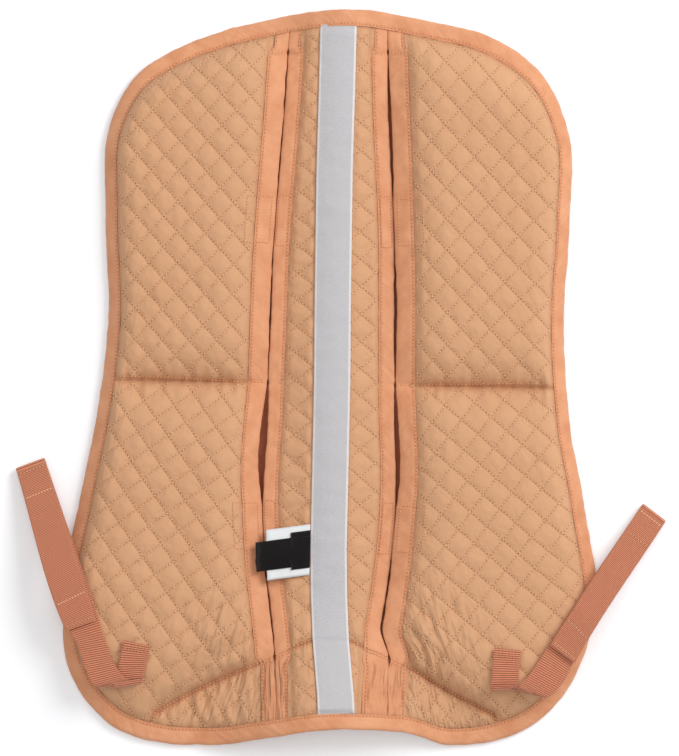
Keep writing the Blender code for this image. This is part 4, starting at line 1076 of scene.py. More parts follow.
def spine_tape(finish):
    """Woven webbing over the spine seam, a thin sheet."""
    y = np.arange(SLIT[0][0], SLIT[-1][0], -TAPE_STEP)
    y = y[Spot(tape_centre(y), y).past_edge > -SQUEEZED]
    u = np.concatenate([[-1, -0.985, -0.95], np.linspace(-0.85, 0.85, 17), [0.95, 0.985, 1]])
    x = tape_centre(y)[:, None] + u[None] * TAPE_WIDTH / 2
    y = np.broadcast_to(y[:, None], x.shape)
    p = Spot(x, y)
    bed = panel_bottom(p) + SPINE_PANEL + TAPE_CLEAR
    waves = wrinkle("tape wave", y, x * 0.4) + wrinkle("tape swell", y + x, x)
    edge = wrinkle("tape edge", y, 0 * x) * np.abs(u) ** 6
    under = smooth((UNDER_BINDING - p.past_edge) / (4.5 * MM))
    lying = bed + waves + edge - 1.3 * MM * bell(y - panel_seam_at(x), 2.5 * MM) + TAPE / 2
    thick = TAPE / 2 * np.clip((1 - np.abs(u)) * 18 + 0.45, 0, 1)[None] * (1 - 0.5 * under)
    middle = lying * (1 - under) + (panel_top(p) + thick) * under
    rings = ringed(*(np.stack([x, y, height], axis=-1) for height in (middle + thick, middle - thick)))
    lie = np.stack([x - tape_centre(y), y, 0 * y], axis=-1)
    return tube("spine_webbing", finish, drawn_out(rings[:, ::-1]), ringed(lie, lie)[:, ::-1])


def pad_top(x, y):
    """The highest cloth at each point, and 0 outside the outline."""
    p = Spot(x, y)
    diamonds = np.abs(np.sin(math.pi * (p.x + p.y) / CAD_QUILT_DIAGONAL))
    puffs = CAD_QUILT_RISE * diamonds * np.abs(np.sin(math.pi * (p.x - p.y) / CAD_QUILT_DIAGONAL))
    cover = cover_bottom(p) + np.where(p.past > CAD_SLIT_SEAM, COVER + puffs, SLIT_OVER)
    clear_of_tape = smooth((np.abs(p.x) - TAPE_WIDTH / 2) / (TAPE_WIDTH / 5))
    panels = SPINE_PANEL + puffs * clear_of_tape
    panel = panel_bottom(p) + np.where(p.past < -CAD_SLIT_SEAM, panels, SLIT_OVER)
    quilted = np.where(p.past > 0, cover, panel)
    return np.where(p.past_edge > 0, quilted, np.where(p.inside > 0, shell_top(p) + EDGE_TOPSIDE, 0))


def resting(x, y, reach):
    """Height at which something stiff lies on the pad, and its fall to the ground outside the outline."""
    around = [pad_top(x + i * reach, y + j * reach) for i in (-1, 0, 1) for j in (-1, 0, 1)]
    inside = Spot(x, y).inside
    fall = (EDGE_LEVEL + EDGE_TOPSIDE) * (1 - smooth(-inside / STRAP_DROOP)) + STRAP_FLOOR_CLEAR
    return np.maximum(np.max(around, axis=0), fall)


def taut(along, heights):
    """Heights of a band drawn over the given ones: straight from one high point to the next."""
    kept = []
    for point in zip(along, heights):
        while len(kept) > 1:
            (a, u), (b, v) = kept[-2:]
            if (v - u) * (point[0] - a) > (point[1] - u) * (b - a):
                break
            kept.pop()
        kept.append(point)
    return np.interp(along, *zip(*kept))


def strap_rails(stations):
    """The webbing's two edges through the given stations, as rows of outer and inner points."""
    flat = np.array(stations, float).reshape(len(stations), 4) * MM
    return smooth_curve(flat, STRAP_STEP).reshape(-1, 2, 2)


def heading_of(rails):
    """Direction in which a webbing runs on at its end."""
    return unit(rails[-1].mean(axis=0) - rails[-2].mean(axis=0))


def lie_of(rails):
    """Length along the webbing and the height at which it rests."""
    plan = np.stack([rails[:, 0] * (1 - t) + rails[:, 1] * t for t in np.linspace(0, 1, 5)], axis=1)
    heights = resting(plan[..., 0], plan[..., 1], WEBBING * 4).max(axis=1) + STRAP_CLEAR
    return middle_lengths(rails), heights


def raised(rails, heights):
    """Rails with a height for each row."""
    heights = np.broadcast_to(np.asarray(heights)[:, None, None], (*rails.shape[:2], 1))
    return np.concatenate([rails, heights], axis=-1)


def arc_rows(line, heading, centre, radius, start, end):
    """Rows round a fold: the rail line carried round an arc that opens backwards."""
    turn = np.radians(np.linspace(start, end, ARC_ROWS))
    plan = line[None] + (radius * np.cos(turn))[:, None, None] * heading
    return raised(plan, centre + radius * np.sin(turn))


def strap_path(stations, doubled_aside):
    """The middle surface of one strap's webbing, as rows of its two edges in space, from the sewn end over
    the curl, along the run and round the tip back to the seam, and the lengths where its stretches end."""
    tab = strap_rails((stations["anchor"], stations["crease"]))
    tab_height = taut(*lie_of(tab)) + WEBBING / 2
    curl = tab_height[-1] + CURL_RADIUS
    rails = strap_rails((stations["crease"], *stations["run"], stations["seam"], stations["tip"]))
    heading = heading_of(rails)
    fold_radius = (WEBBING + 2 * STRAP_TAPE + 3 * STRAP_GAP) / 2
    length = middle_lengths(rails)
    rails = rails[length < length[-1] - fold_radius - WEBBING / 2]
    length, rest = lie_of(rails)
    rest[0] = curl + CURL_RADIUS - WEBBING / 2
    low = taut(length, rest)
    run = raised(rails, low + WEBBING / 2)
    round_crease = arc_rows(tab[-1], heading_of(tab), curl, CURL_RADIUS, -90, 80)
    round_tip = arc_rows(rails[-1], heading, low[-1] + WEBBING / 2 + fold_radius, fold_radius, -80, 90)
    seam = np.array(stations["seam"]).mean(axis=0) * MM
    at_seam = int(np.argmin(np.linalg.norm(rails.mean(axis=1) - seam, axis=1)))
    back = run[at_seam:][::-1] + (0, 0, 2 * fold_radius)
    aside = unit(back[:, 0] - back[:, 1]) * np.linspace(0, doubled_aside, len(back))[:, None]
    stretches = [raised(tab, tab_height)[:-1], round_crease, run[1:], round_tip, (back + aside[:, None])[1:]]
    path = np.concatenate(stretches)
    ends = np.cumsum([len(stretch) for stretch in stretches]) - 1
    return path, middle_lengths(path)[ends]


def webbing(name, path, start, end, finish, ribbing):
    """Ribbed webbing along rows of edge points, between two lengths."""
    at = np.arange(start, end + ribbing / 12, ribbing / 5)
    at = np.append(at[at < end - ribbing / 10], end)
    edges = at_lengths(path, at, middle_lengths(path))
    u = np.array([0, 0.015, 0.06, 0.14, 0.25, 0.38, 0.5, 0.62, 0.75, 0.86, 0.94, 0.985, 1])
    middle = edges[:, :1] * (1 - u)[None, :, None] + edges[:, 1:] * u[None, :, None]
    forward = np.gradient(edges.mean(axis=1), axis=0)
    normal = unit(np.cross(forward, edges[:, 1] - edges[:, 0]))
    rib = np.abs(np.sin(math.pi * at / ribbing))[:, None]
    taper = np.clip(np.minimum(u, 1 - u) * 30 + 0.35, 0, 1)[None]
    half = (WEBBING / 2 - RIB_HEIGHT + RIB_HEIGHT * 1.6 * rib) * taper
    off = normal[:, None] * half[..., None]
    lie = np.stack(np.broadcast_arrays(at[:, None], u[None] * STRAP_WIDTH, rib), axis=-1)
    return tube(name, finish, ringed(middle + off, middle - off), ringed(lie, lie))


def top_of(*pieces, below=False):
    """A function of plan places that gives the height of the pieces' surface, seen from above or below."""
    trees = []
    for piece in pieces:
        mesh = piece.data
        corners = [v.co for v in mesh.vertices]
        trees.append(BVHTree.FromPolygons(corners, [face.vertices for face in mesh.polygons]))
    start, way = (-1.0, Vector((0, 0, 1))) if below else (1.0, Vector((0, 0, -1)))

    def surface(x, y):
        heights = np.full(np.shape(x), np.nan)
        for index in np.ndindex(heights.shape):
            origin = (float(x[index]) + SPINE_X, float(y[index]), start)
            found = [hit.z for hit, *_ in (tree.ray_cast(origin, way) for tree in trees) if hit]
            if found:
                heights[index] = min(found) if below else max(found)
        return heights

    return surface


class Line:
    """A number, colour or vector on its way through a material's nodes. Shading then reads as arithmetic."""

    def __init__(self, finish, socket):
        self.finish, self.socket = finish, socket

    def maths(self, operation, *others):
        return self.finish.node("ShaderNodeMath", {"operation": operation}, dict(enumerate((self, *others))))

    def __add__(self, other):
        return self.maths("ADD", other)

    def __sub__(self, other):
        return self.maths("SUBTRACT", other)

    def __mul__(self, other):
        return self.maths("MULTIPLY", other)

    def __truediv__(self, other):
        return self.maths("DIVIDE", other)

    def __rsub__(self, other):
        return self * -1 + other

    __radd__ = __add__

    def __abs__(self):
        return self.maths("ABSOLUTE")

    def wave(self, size):
        """-1 to 1 and back over each `size`."""
        return (self * (2 * math.pi / size)).maths("SINE")

    def over(self, low, high):
        """0 below `low`, 1 above `high`, and a straight line between."""
        inputs = {"Value": self, "From Min": low, "From Max": high}
        return self.finish.node("ShaderNodeMapRange", {"clamp": True}, inputs)


class Finish:
    """A material being made: its shader and the nodes that feed it."""

    def __init__(self, name, constants):
        self.material = bpy.data.materials.new(name)
        self.material.use_nodes = True
        self.tree = self.material.node_tree
        self.shader = self.tree.nodes["Principled BSDF"]
        self.feed(constants)
        self.place = self.node("ShaderNodeAttribute", {"attribute_name": "lie"}, {}, "Vector")

    def put(self, socket, value):
        if isinstance(value, Line):
            self.tree.links.new(value.socket, socket)
        elif isinstance(value, tuple) and len(value) == 3 and len(socket.default_value) == 4:
            socket.default_value = (*value, 1)
        else:
            socket.default_value = value

    def feed(self, values):
        """Sets or links the shader's own sockets."""
        for name, value in values.items():
            self.put(self.shader.inputs[name], value)

    def node(self, kind, settings, inputs, output=0):
        """Adds a node with its settings and its sockets' values or links, and returns one of its outputs."""
        node = self.tree.nodes.new(kind)
        for name, value in settings.items():
            setattr(node, name, value)
        for name, value in inputs.items():
            self.put(node.inputs[name], value)
        return Line(self, node.outputs[output])

    def part(self, axis):
        """One of the cloth's own coordinates, in metres: 0, 1 or 2."""
        return self.node("ShaderNodeSeparateXYZ", {}, {0: self.place}, axis)

    def share(self, name):
        """A share that the mesh keeps for each of its points."""
        return self.node("ShaderNodeAttribute", {"attribute_name": name}, {}, "Fac")

    def stretched(self, x, y, z=0.0):
        return self.node("ShaderNodeCombineXYZ", {}, {0: x, 1: y, 2: z})

    def patches(self, size, detail=2.0, place=None):
        """Soft random values round 0.5 in patches of about this size."""
        inputs = {"Vector": place or self.place, "Scale": 1 / size, "Detail": detail}
        return self.node("ShaderNodeTexNoise", {}, inputs)

    def streaks(self, x, y, detail=1.0, z=0.0):
        """Soft random values in streaks, from coordinates that are drawn out along them."""
        return self.patches(1.0 * MM, detail, self.stretched(x, y, z))

    def mix(self, share, a, b, way="MIX"):
        settings = {"data_type": "RGBA", "blend_type": way}
        return self.node("ShaderNodeMix", settings, {0: share, 6: a, 7: b}, 2)

    def shaded(self, colour, amount):
        """The colour made darker or lighter by a number round 1."""
        return self.mix(1.0, colour, self.stretched(amount, amount, amount), "MULTIPLY")

    def bump(self, height, depth, under=None):
        inputs = {"Height": height, "Distance": depth}
        if under:
            inputs["Normal"] = under
        return self.node("ShaderNodeBump", {}, inputs)


def stitched_away(finish, rows, x, y):
    """Distance to the nearest stitched row."""
    nearest = None
    for angle, spacing, start in rows:
        turn = math.radians(angle)
        across = (x * math.cos(turn) + y * math.sin(turn) - start) / spacing
        away = across.maths("PINGPONG", 0.5) * spacing
        nearest = away if nearest is None else nearest.maths("MINIMUM", away)
    return nearest


def quilted_cotton(name, rows, other_rows=None, axis=1, border=0.0, skew=0.0):
    """Peach cotton sateen, drawn in along its quilting, with the needle's puckers beside it. Painted shade
    darkens it along its rows and beside its seams and bindings. Below the border, along the axis, the
    cloth is sewn in the other rows."""
    finish = Finish(name, COTTON_LOOK)
    x, y = finish.part(0), finish.part(1)
    away = stitched_away(finish, rows, x, y)
    if other_rows:
        other = (x, y)[axis].maths("LESS_THAN", border)
        away = away * (1 - other) + stitched_away(finish, other_rows, x, y) * other
    # The valleys of the rows and the cloth beside seams and bindings are painted darker: painted shade
    valley = 1 - away.over(0.2 * MM, 1.5 * MM)
    beside = 1 - away.over(1.0 * MM, 5.0 * MM)
    dye = finish.mix(finish.patches(45 * MM), COTTON_PALE, COTTON_DEEP)
    shaded = (valley * 0.20).maths("MAXIMUM", finish.share("drawn_in") * 0.92)
    crease_shaded = finish.mix(shaded, dye, COTTON_CREASE_SHADE)
    warp = finish.streaks(x * 3.0, y * 0.35)
    weft = finish.streaks(x * 0.35, y * 3.0, z=3.0)
    yarns = warp + weft
    # The inner side takes a dark colour: painted shade
    inside_shaded = finish.mix(finish.part(2), finish.shaded(crease_shaded, yarns * 0.10 + 0.90), INSIDE_SHADE)
    finish.feed({"Base Color": inside_shaded, "Roughness": yarns * 0.12 + 0.64})
    weave = finish.bump(x.wave(0.7 * MM) * y.wave(0.7 * MM), 0.03 * MM)
    grain = finish.bump(yarns, 0.10 * MM, weave)
    puckers = finish.bump(finish.patches(3.0 * MM, 2.0) * (beside + 0.1), 1.0 * MM, grain)
    folds = finish.streaks((x + y * skew) * 0.24, y * 0.05)
    folded = finish.bump(folds.over(0.3, 0.7) * finish.share("pulled"), 1.5 * MM, puckers)
    finish.feed({"Normal": finish.bump(finish.patches(11 * MM, 2.0), 1.2 * MM, folded)})
    return finish.material


def bias_cloth(name, gathered_below=None):
    """Coral bias tape, whose weave runs slantwise, drawn in by its row of stitches, with painted shade along
    it.
    """
    finish = Finish(name, BIAS_LOOK)
    along, around = finish.part(0), finish.part(1)
    ahead, back = along + around, along - around
    # Painted shade along the row of stitches
    row_shade = 1 - abs(around - ROW_INSET).over(0.2 * MM, 1.3 * MM)
    drag = finish.streaks(ahead * 0.16, back * 0.04, 2.0)
    dye = finish.mix(finish.patches(18 * MM), CORAL, CORAL_DEEP_AND_SHADE)
    crease_shaded = finish.mix(row_shade * 0.45, dye, CORAL_DEEP_AND_SHADE)
    yarns = finish.streaks(ahead * 2.4, back * 0.4)
    # The drag streaks that bump the tape also make its colour darker where they lie low: painted shade
    finish.feed({"Base Color": finish.shaded(crease_shaded, yarns * 0.14 + drag * 0.10 + 0.87)})
    weave = finish.bump(ahead.wave(0.75 * MM) * back.wave(0.75 * MM), 0.03 * MM)
    cloth = finish.bump(drag, 1.1 * MM, finish.bump(yarns, 0.08 * MM, weave))
    if gathered_below is not None:
        folds = finish.streaks(around * 0.30, along * 0.035)
        gathered = (gathered_below - along).over(-4 * MM, 6 * MM)
        cloth = finish.bump(folds.over(0.3, 0.7) * gathered, 2.0 * MM, cloth)
    finish.feed({"Normal": cloth})
    return finish.material


def tape_webbing(name):
    """Grey woven tape: slanting ribs that turn back in bands, and a paler selvedge along both edges."""
    finish = Finish(name, {"Roughness": 0.7, "Specular IOR Level": 0.35})
    x, y = finish.part(0), finish.part(1)
    ribs = (y + x.maths("PINGPONG", 3.4 * MM)).wave(1.5 * MM)
    selvedge = abs(x).over(13.1 * MM, 13.5 * MM)
    grey = finish.mix(ribs * 0.5 + 0.5, *TAPE_GREYS)
    pale = finish.mix(selvedge * 0.7, grey, TAPE_SELVEDGE)
    slubs = finish.streaks(x * 1.6, y * 0.5, 2.0)
    finish.feed({"Base Color": finish.shaded(pale, slubs * 0.16 + 0.92)})
    selvedge_ribs = finish.bump(y.wave(0.9 * MM) * selvedge, 0.08 * MM)
    woven = finish.bump(ribs * (1 - selvedge), 0.14 * MM, selvedge_ribs)
    finish.feed({"Normal": finish.bump(finish.patches(9 * MM, 2.0), 0.6 * MM, woven)})
    return finish.material


def strap_webbing(name):
    """Coral cotton webbing: the yarn shows on top of each rib and the grooves between ribs lie in shade."""
    finish = Finish(name, STRAP_LOOK)
    along, across, rib = finish.part(0), finish.part(1), finish.part(2)
    # The grooves between the ribs are painted dark: painted shade
    groove_shaded = finish.mix(rib.over(0.3, 0.9), STRAP_GROOVE_SHADE, finish.mix(finish.patches(12 * MM), *STRAP_DYES))
    yarns = (across + along * 0.45).wave(1.05 * MM)
    fuzz = finish.patches(0.8 * MM, 3.0)
    worn = finish.mix(fuzz.over(0.58, 0.8) * 0.25, groove_shaded, STRAP_FUZZ)
    finish.feed({"Base Color": finish.shaded(worn, yarns * 0.07 + fuzz * 0.2 + 0.9)})
    finish.feed({"Normal": finish.bump(fuzz, 0.25 * MM, finish.bump(yarns, 0.12 * MM))})
    return finish.material


def thread(name, colour, hole_shade, shown):
    """Twisted sewing thread, which goes down into its needle holes beyond the length `shown`. There its
    ends are painted dark: painted shade.
    """
    finish = Finish(name, {"Roughness": 0.5, "Specular IOR Level": 0.45, "Sheen Weight": 0.1})
    along, around, where = finish.part(0), finish.part(1), finish.part(2)
    twist = (along + around * 0.7).wave(0.75 * MM)
    uneven = finish.patches(3 * MM, 1.0, finish.stretched(where, where))
    dye = finish.shaded(colour, twist * 0.10 + uneven * 0.3 + 0.80)
    # The thread's ends are painted dark: painted shade
    sunk_shade = abs(along).over(shown * 0.46, shown * 0.56)
    finish.feed({"Base Color": finish.mix(sunk_shade, dye, hole_shade)})
    finish.feed({"Normal": finish.bump(twist, 0.05 * MM)})
    return finish.material


def label_cloth(name, colour, ridge):
    """Narrow woven label cloth with fine cross ribs."""
    finish = Finish(name, {"Roughness": 0.6, "Specular IOR Level": 0.12})
    along, across = finish.part(0), finish.part(1)
    yarns = finish.patches(0.7 * MM, 2.0, finish.stretched(along * 2.0, across * 0.5))
    edge = finish.part(2).over(0.90, 0.97)
    bordered = finish.mix(edge * 0.6, colour, ridge)
    finish.feed({"Base Color": finish.shaded(bordered, yarns * 0.16 + 0.92)})
    finish.feed({"Normal": finish.bump(yarns, 0.08 * MM, finish.bump(along.wave(0.6 * MM), 0.03 * MM))})
    return finish.material


def memory_foam(name):
    """Cream memory foam with fine open pores."""
    finish = Finish(name, {"Roughness": 0.95, "Specular IOR Level": 0.15})
    pores = finish.patches(0.7 * MM, 4.0)
    cream = finish.mix(pores.over(0.35, 0.6), *FOAM_CREAMS)
    finish.feed({"Base Color": finish.mix(finish.patches(30 * MM) * 0.3, cream, FOAM_AGED)})
    finish.feed({"Normal": finish.bump(pores, 0.5 * MM)})
    return finish.material


def pile_tape(name, tuft, depth):
    """Hook-and-loop tape: rows of small tufts on a woven ground."""
    finish = Finish(name, {"Roughness": 0.85, "Sheen Weight": 0.4, "Sheen Roughness": 0.5})
    fuzz = finish.patches(tuft, 4.0)
    rows = finish.part(0).wave(tuft * 2) * finish.part(1).wave(tuft * 2)
    dye = finish.mix(fuzz.over(0.35, 0.65), *PILE_DYES)
    finish.feed({"Base Color": dye, "Normal": finish.bump(fuzz, depth, finish.bump(rows, depth))})
    return finish.material


def thin_cloth(name, finish, middle, thick, lie):
    """A thin closed cloth through a grid of points, drawn in along its edges."""
    normal = unit(np.cross(np.gradient(middle, axis=0), np.gradient(middle, axis=1)))
    half = np.full(middle.shape[:2], thick / 2)
    half[[0, -1]] *= 0.55
    half[:, [0, -1]] *= 0.55
    off = normal * half[..., None]
    return tube(name, finish, ringed(middle + off, middle - off), ringed(lie, lie))


def label_lie():
    """Distances from the tape's edge, and the heights at which a band as wide as every label lies there."""
    longest = max(size[0] for size in LABELS.values())
    centre = LABELS["care_label"][2]
    along = np.linspace(0, longest, 8)
    across = np.linspace(0.6, -0.6, 9)[:, None] * max(size[1] for size in LABELS.values())
    y = centre + across - LABEL_SLANT * along[None]
    reach = CAD_QUILT_DIAGONAL / 8
    heights = resting(-TAPE_WIDTH / 2 - along[None] + 0 * y, y, reach).max(axis=0)
    return along, taut(along, heights) + LABEL_CLEAR


def label(name, under, finish, ends):
    """A label sewn in at the tape's left edge, above what lies `under` it, its free end curling up a little.
    `ends` is how far the free end's two corners are drawn back."""
    length, width, centre, cloth = LABELS[name]
    reach = np.linspace(0.0004, 1, 33)[:, None]
    across = np.linspace(-1, 1, 21)[None]
    drawn = ends[0] * (1 - across) / 2 + ends[1] * (1 + across) / 2
    along = reach * (length - drawn) + LABEL_ROOT * (1 - reach)
    along = along + 0.5 * MM * np.sin(across * 5 + length * 200) * reach
    root = tape_centre(np.array(centre)) - TAPE_WIDTH / 2
    y = centre + across * width / 2 - LABEL_SLANT * along
    height = sum(np.interp(along + shift, *LABEL_LIE) for shift in np.linspace(-5, 5, 7) * MM) / 7
    height = np.maximum(height, np.interp(along, *LABEL_LIE))
    curl = LABEL_CURL * np.sin(reach * 3.0) ** 2 * (0.6 + 0.4 * np.cos(across * 2.2)) + LABEL_TIP * reach**6
    middle = np.stack([root - along, y, height + under + cloth / 2 + curl], axis=-1)
    edge = np.maximum(np.abs(across) + 0 * reach, reach + 0 * across)
    return thin_cloth(name + "_cloth", finish, middle, cloth, np.stack([along, y, edge], axis=-1))


def standing_for(piece, slot, nodes):
    """Hides the CAD nodes that a piece stands for. Its material slot is not used."""
    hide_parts(*nodes)
    return piece


def fixed(piece, body, slot, *nodes):
    """Fixes a piece to its body."""
    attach(piece, body)
    return standing_for(piece, slot, nodes)


def folding(piece, slot, *nodes):
    """Bakes a piece's place into its mesh and hides the CAD nodes that it stands for."""
    SPINE_X - FOLD_ZONE
    SPINE_X + FOLD_ZONE
    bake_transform(piece)
    return standing_for(piece, slot, nodes)


def curling(piece, bodies, low, high, slot, *nodes):
    """Bakes the place of a fold of webbing into its mesh and hides the CAD nodes that it stands for.
    Its two bodies and the heights `low` and `high` are not used.
    """
    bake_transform(piece)
    return standing_for(piece, slot, nodes)


def both(name):
    return [f"{side}_{name}" for side in SIDES]


def softened(node, finish, rounding=0.35 * MM):
    """A rounded copy of a hidden soft node, finely bevelled."""
    mesh = frame["nodes"][node].data.copy()
    mesh.name = f"soft_{node}"
    mesh.materials.clear()
    piece = bpy.data.objects.new(f"soft_{node}", mesh)
    bpy.context.scene.collection.objects.link(piece)
    bevel = piece.modifiers.new("rounded edges", "BEVEL")
    bevel.width, bevel.segments, bevel.limit_method = rounding, 3, "ANGLE"
    rounded = bpy.data.meshes.new_from_object(piece.evaluated_get(bpy.context.evaluated_depsgraph_get()))
    piece.modifiers.clear()
    piece.data = rounded
    places = np.empty(len(rounded.vertices) * 3, np.float32)
    rounded.vertices.foreach_get("co", places)
    rounded.attributes.new("lie", "FLOAT_VECTOR", "POINT").data.foreach_set("vector", places)
    rounded.materials.append(finish)
    rounded.shade_smooth()
    rounded.set_sharp_from_angle(angle=math.radians(50))
    return piece


def follow_edge(piece):
    """Moves a piece that lies inside the pad as the cloth round it is drawn out."""
    points = np.array([v.co for v in piece.data.vertices]) - (SPINE_X, 0, 0)
    piece.data.vertices.foreach_set("co", place(drawn_out(points)).ravel())
    piece.data.update()


def cover_rows(side):
    """The quilting of one cover: its rear, its front and the band beyond the front seam are sewn apart."""
    cloth, runs = cover_region(side, ROWS_SHORT), []
    for zone, sign in (("rear", 1), ("front", -1)):

        def region(x, y, sign=sign):
            away = np.minimum(cloth(x, y), (y - MIDDLE_SEAM) * sign - 1.5 * MM)
            return np.minimum(away, np.abs(behind_front_seam(x, y)) - 3 * MM)

        runs += quilt_runs(QUILTS[side, zone], region, half_box(side))
    return runs


def panel_rows():
    """The quilting of the spine panels, which the tape covers in the middle."""
    cloth, runs = cloth_region(ROWS_SHORT, "spine"), []
    for side, sign in SIDES.items():

        def region(x, y, sign=sign):
            beside_tape = (x - tape_centre(y)) * sign - TAPE_WIDTH / 2 - 0.3 * MM
            return np.minimum(cloth(x, y), beside_tape)

        runs += quilt_runs(QUILTS[side, "spine"], region, PANEL_BOX)
    return runs


def rows_across(path, at):
    """Rows of thread across a webbing at the given lengths along it, as plan points."""
    share = np.linspace(0.06, 0.94, 40)[:, None]
    edges = at_lengths(path, np.array(at), middle_lengths(path))[..., :2]
    return [outer * (1 - share) + inner * share for outer, inner in edges]


# Finishes
cotton = {}
for side, sign in SIDES.items():
    cotton[side] = quilted_cotton(
        f"quilted cotton, {side} cover", QUILTS[side, "rear"], QUILTS[side, "front"],
        axis=1, border=MIDDLE_SEAM, skew=0.3 * sign,
    )
panel_cotton = quilted_cotton(
    "quilted cotton, spine panels", QUILTS["right", "spine"], QUILTS["left", "spine"], axis=0, border=0.0
)
under_cotton = quilted_cotton("quilted cotton, underside", QUILTS["both", "underside"])
edge_bias = bias_cloth("bias binding, edge")
slit_bias = bias_cloth("bias binding, slits", SLIT_FRONT)
tape_finish = tape_webbing("grey tape webbing")
strap_finish = strap_webbing("coral strap webbing")
orange_thread = thread("pale orange sewing thread", PALE_THREAD, NEEDLE_HOLE_SHADE, 1.5 * MM)
seam_thread = thread("coral seam thread", SEAM_TWIST, BINDING_HOLE_SHADE, 1.6 * MM)
white_cloth = label_cloth("white label cloth", *WHITE_LABEL)
black_cloth = label_cloth("black label cloth", *BLACK_LABEL)
foam_finish = memory_foam("memory foam")
hook_finish = pile_tape("hook tape", 0.9 * MM, 0.35 * MM)
loop_finish = pile_tape("loop tape", 0.6 * MM, 0.30 * MM)

# Quilted cloth
shell = quilted_sheet(
    "quilted_underside", under_cotton, cloth_region(UNDER_BINDING), PAD_BOX, SHELL_STEP,
    shell_top, shell_under, inside_shaded="above",
)
folding(shell, "quilted_cotton", *both("lower_shell"))
panel_region = cloth_region(UNDER_BINDING, "spine")
panel = quilted_sheet(
    "quilted_spine_panel", panel_cotton, panel_region, PANEL_BOX, PANEL_STEP, panel_top, panel_bottom
)
folding(panel, "quilted_cotton", *both("spine_panel"))
covers = {}
for side in SIDES:
    covers[side] = quilted_sheet(
        f"{side}_quilted_cover", cotton[side], cover_region(side, UNDER_BINDING), half_box(side), COVER_STEP,
        partial(cover_top, side), cover_bottom,
    )
    fixed(covers[side], f"{side}_half", "quilted_cotton", f"{side}_pocket_cover")

# Bindings
edge = folding(edge_binding(edge_bias), "bias_binding", *both("edge_binding"))
lips = {}
for side in SIDES:
    for lip in LIPS:
        binding = slit_binding(f"{side}_{lip}_slit_tape", side, lip, slit_bias)
        lips[side, lip] = fixed(binding, f"{side}_half", "bias_binding", f"{side}_{lip}_slit_binding")

# Foam and the closures that lie hidden between the layers
for side in SIDES:
    for end in ("rear", "front"):
        foam = softened(f"{side}_{end}_foam", foam_finish, 1.2 * MM)
        follow_edge(foam)
        fixed(foam, f"{side}_half", "memory_foam", f"{side}_{end}_foam")
        for kind, finish in (("hook_patch", hook_finish), ("loop_tab", loop_finish)):
            node = f"{side}_{end}_{kind}"
            fixed(softened(node, finish), f"{side}_half", "hook_and_loop", node)

# Spine tape and labels
tape = spine_tape(tape_finish)
folding(tape, "spine_webbing", "spine_tape")
LABEL_LIE = label_lie()
layer = LABELS["care_label"][3] + LABEL_GAP
for number, (node, finish, ends, body, slot) in enumerate((
    ("care_label", white_cloth, (2.0 * MM, 0.0), "sewn_labels", "white_label"),
    ("size_tag", black_cloth, (0.0, 0.0), "sewn_labels", "black_label"),
    ("woven_label", black_cloth, (0.5 * MM, 0.0), "top_label", "black_label"),
)):
    piece = label(node, number * layer, finish, ends)
    fixed(piece, body, slot, node)

# Thread
for side in SIDES:
    cover, own_lips = covers[side], [lips[side, lip] for lip in LIPS]
    for name, twist, runs, sewn, kind, slot in (
        ("quilting", orange_thread, cover_rows(side), [cover], QUILT_THREAD, "quilted_cotton"),
        ("seams", seam_thread, seam_runs(side), [panel, cover, *own_lips], SEAM_THREAD, "quilted_cotton"),
        ("slit_rows", seam_thread, slit_rows(side), own_lips, SEAM_THREAD, "bias_binding"),
        ("closure_boxes", seam_thread, closure_boxes(side), [cover, *own_lips], BAR_THREAD, "bias_binding"),
    ):
        rows = pad_stitches(f"{side}_{name}", twist, runs, top_of(*sewn), kind)
        fixed(rows, f"{side}_half", slot)
for name, twist, runs, sewn, kind, slot in (
    ("spine_quilting", orange_thread, panel_rows(), panel, QUILT_THREAD, "quilted_cotton"),
    ("panel_seam", seam_thread, panel_seam_runs(), panel, SEAM_THREAD, "quilted_cotton"),
    ("edge_row", seam_thread, [edge_stitch_run()], edge, SEAM_THREAD, "bias_binding"),
):
    folding(pad_stitches(name, twist, runs, top_of(sewn), kind), slot)
below = top_of(shell, below=True)
for number, row in enumerate(QUILTS["both", "underside"]):
    runs = quilt_runs([row], cloth_region(UNDERSIDE_SHORT), PAD_BOX)
    rows = pad_stitches(f"underside_rows_{number}", orange_thread, runs, below, QUILT_THREAD, -1, 4)
    folding(rows, "quilted_cotton")

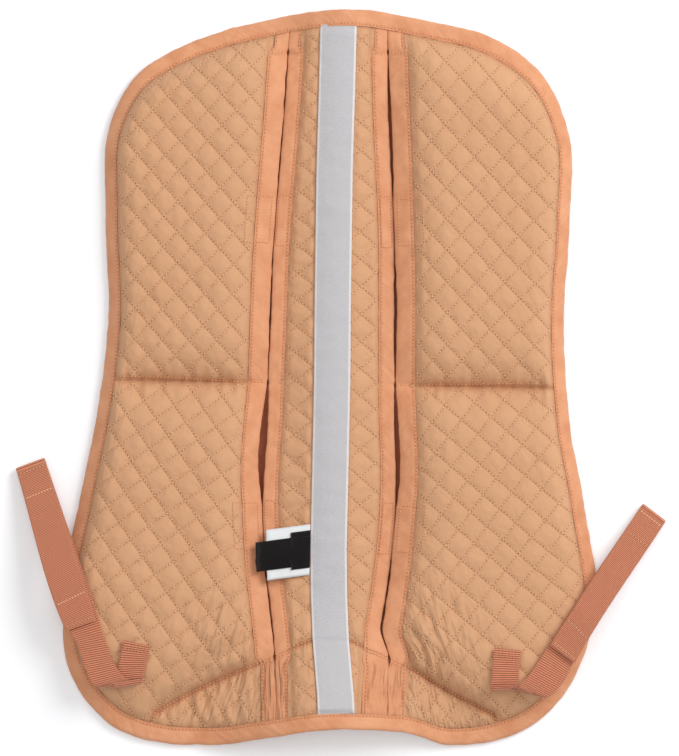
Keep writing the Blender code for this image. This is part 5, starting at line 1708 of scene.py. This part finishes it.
# Straps
for side, stations in STRAPS.items():
    path, ends = strap_path(stations, DOUBLED_ASIDE[side])
    half, run, tail = f"{side}_half", f"{side}_strap_run", f"{side}_strap_end"
    heights = np.interp(ends, middle_lengths(path), path.mean(axis=1)[:, 2])
    bands = {}
    for number, (name, bodies, node, ribbing) in enumerate((
        ("sewn_end", [half], "strap_anchor", RIB),
        ("curl", [half, run], "strap_anchor", RIB),
        ("run", [run], "strap", RIB),
        ("turn", [run, tail], "strap", RIB),
        ("doubled_end", [tail], "strap_tail", FINE_RIB),
    )):
        start = ends[number - 1] if number else 0
        band = webbing(f"{side}_strap_{name}", path, start, ends[number], strap_finish, ribbing)
        if len(bodies) == 1:
            fixed(band, *bodies, "strap_webbing", f"{side}_{node}")
        else:
            curling(band, bodies, *heights[number - 1 : number + 1], "strap_webbing", f"{side}_{node}")
        bands[name] = band
    doubled_at = [ends[3] + at for at in DOUBLED_ROWS] + [ends[4] - at for at in DOUBLED_ROWS]
    for name, twist, at, sewn, body in (
        ("strap_rows", orange_thread, doubled_at, bands["doubled_end"], tail),
        ("anchor_rows", seam_thread, ANCHOR_ROWS, bands["sewn_end"], half),
    ):
        rows = stitch_rows(f"{side}_{name}", twist, rows_across(path, at), top_of(sewn), BAR_THREAD)
        fixed(rows, body, "strap_webbing")
    for kind, finish, body in (("hook_tape", hook_finish, tail), ("loop_tape", loop_finish, run)):
        node = f"{side}_strap_{kind}"
        fixed(softened(node, finish, 0.2 * MM), body, "hook_and_loop", node)

# Camera
scene = bpy.context.scene
camera = bpy.data.objects.new("overhead camera", bpy.data.cameras.new("overhead camera"))
camera.data.sensor_width = FILM
camera.data.lens = FILM * (CAMERA_HEIGHT - SUBJECT_HEIGHT) / PHOTO_HEIGHT
camera.location = (*CAMERA_PLACE, CAMERA_HEIGHT)
camera.rotation_euler = (0, 0, CAMERA_ROLL)
scene.collection.objects.link(camera)
scene.camera = camera
scene.view_settings.view_transform = "Standard"

# Light
world = bpy.data.worlds.new("soft studio")
world.use_nodes = True
sky = world.node_tree.nodes["Background"]
sky.inputs["Color"].default_value = WORLD_COLOUR
sky.inputs["Strength"].default_value = WORLD_LEVEL
scene.world = world
for name, spot, size, power in LAMPS:
    lamp = bpy.data.objects.new(name, bpy.data.lights.new(name, "AREA"))
    lamp.data.shape, lamp.data.size, lamp.data.energy = "DISK", size, power
    lamp.location = spot
    lamp.rotation_euler = (-Vector(spot)).to_track_quat("-Z", "Y").to_euler()
    scene.collection.objects.link(lamp)

# Floor
floor_mesh = bpy.data.meshes.new("white ground")
corners = [(x * FLOOR_REACH, y * FLOOR_REACH, 0) for x, y in ((-1, -1), (1, -1), (1, 1), (-1, 1))]
floor_mesh.from_pydata(corners, [], [(0, 1, 2, 3)])
floor = bpy.data.objects.new("white_ground", floor_mesh)
scene.collection.objects.link(floor)
ground = Finish("white ground", {"Base Color": FLOOR_COLOUR, "Roughness": 0.9, "Specular IOR Level": 0.0})
seen_by = ("Is Camera Ray", "Is Glossy Ray", "Is Transmission Ray")
rays = [ground.node("ShaderNodeLightPath", {}, {}, name) for name in seen_by]
glow = ground.shaded((1.0, 1.0, 1.0), sum(rays) * FLOOR_GLOW)
ground.feed({"Emission Color": glow, "Emission Strength": 1.0})
floor_mesh.materials.append(ground.material)
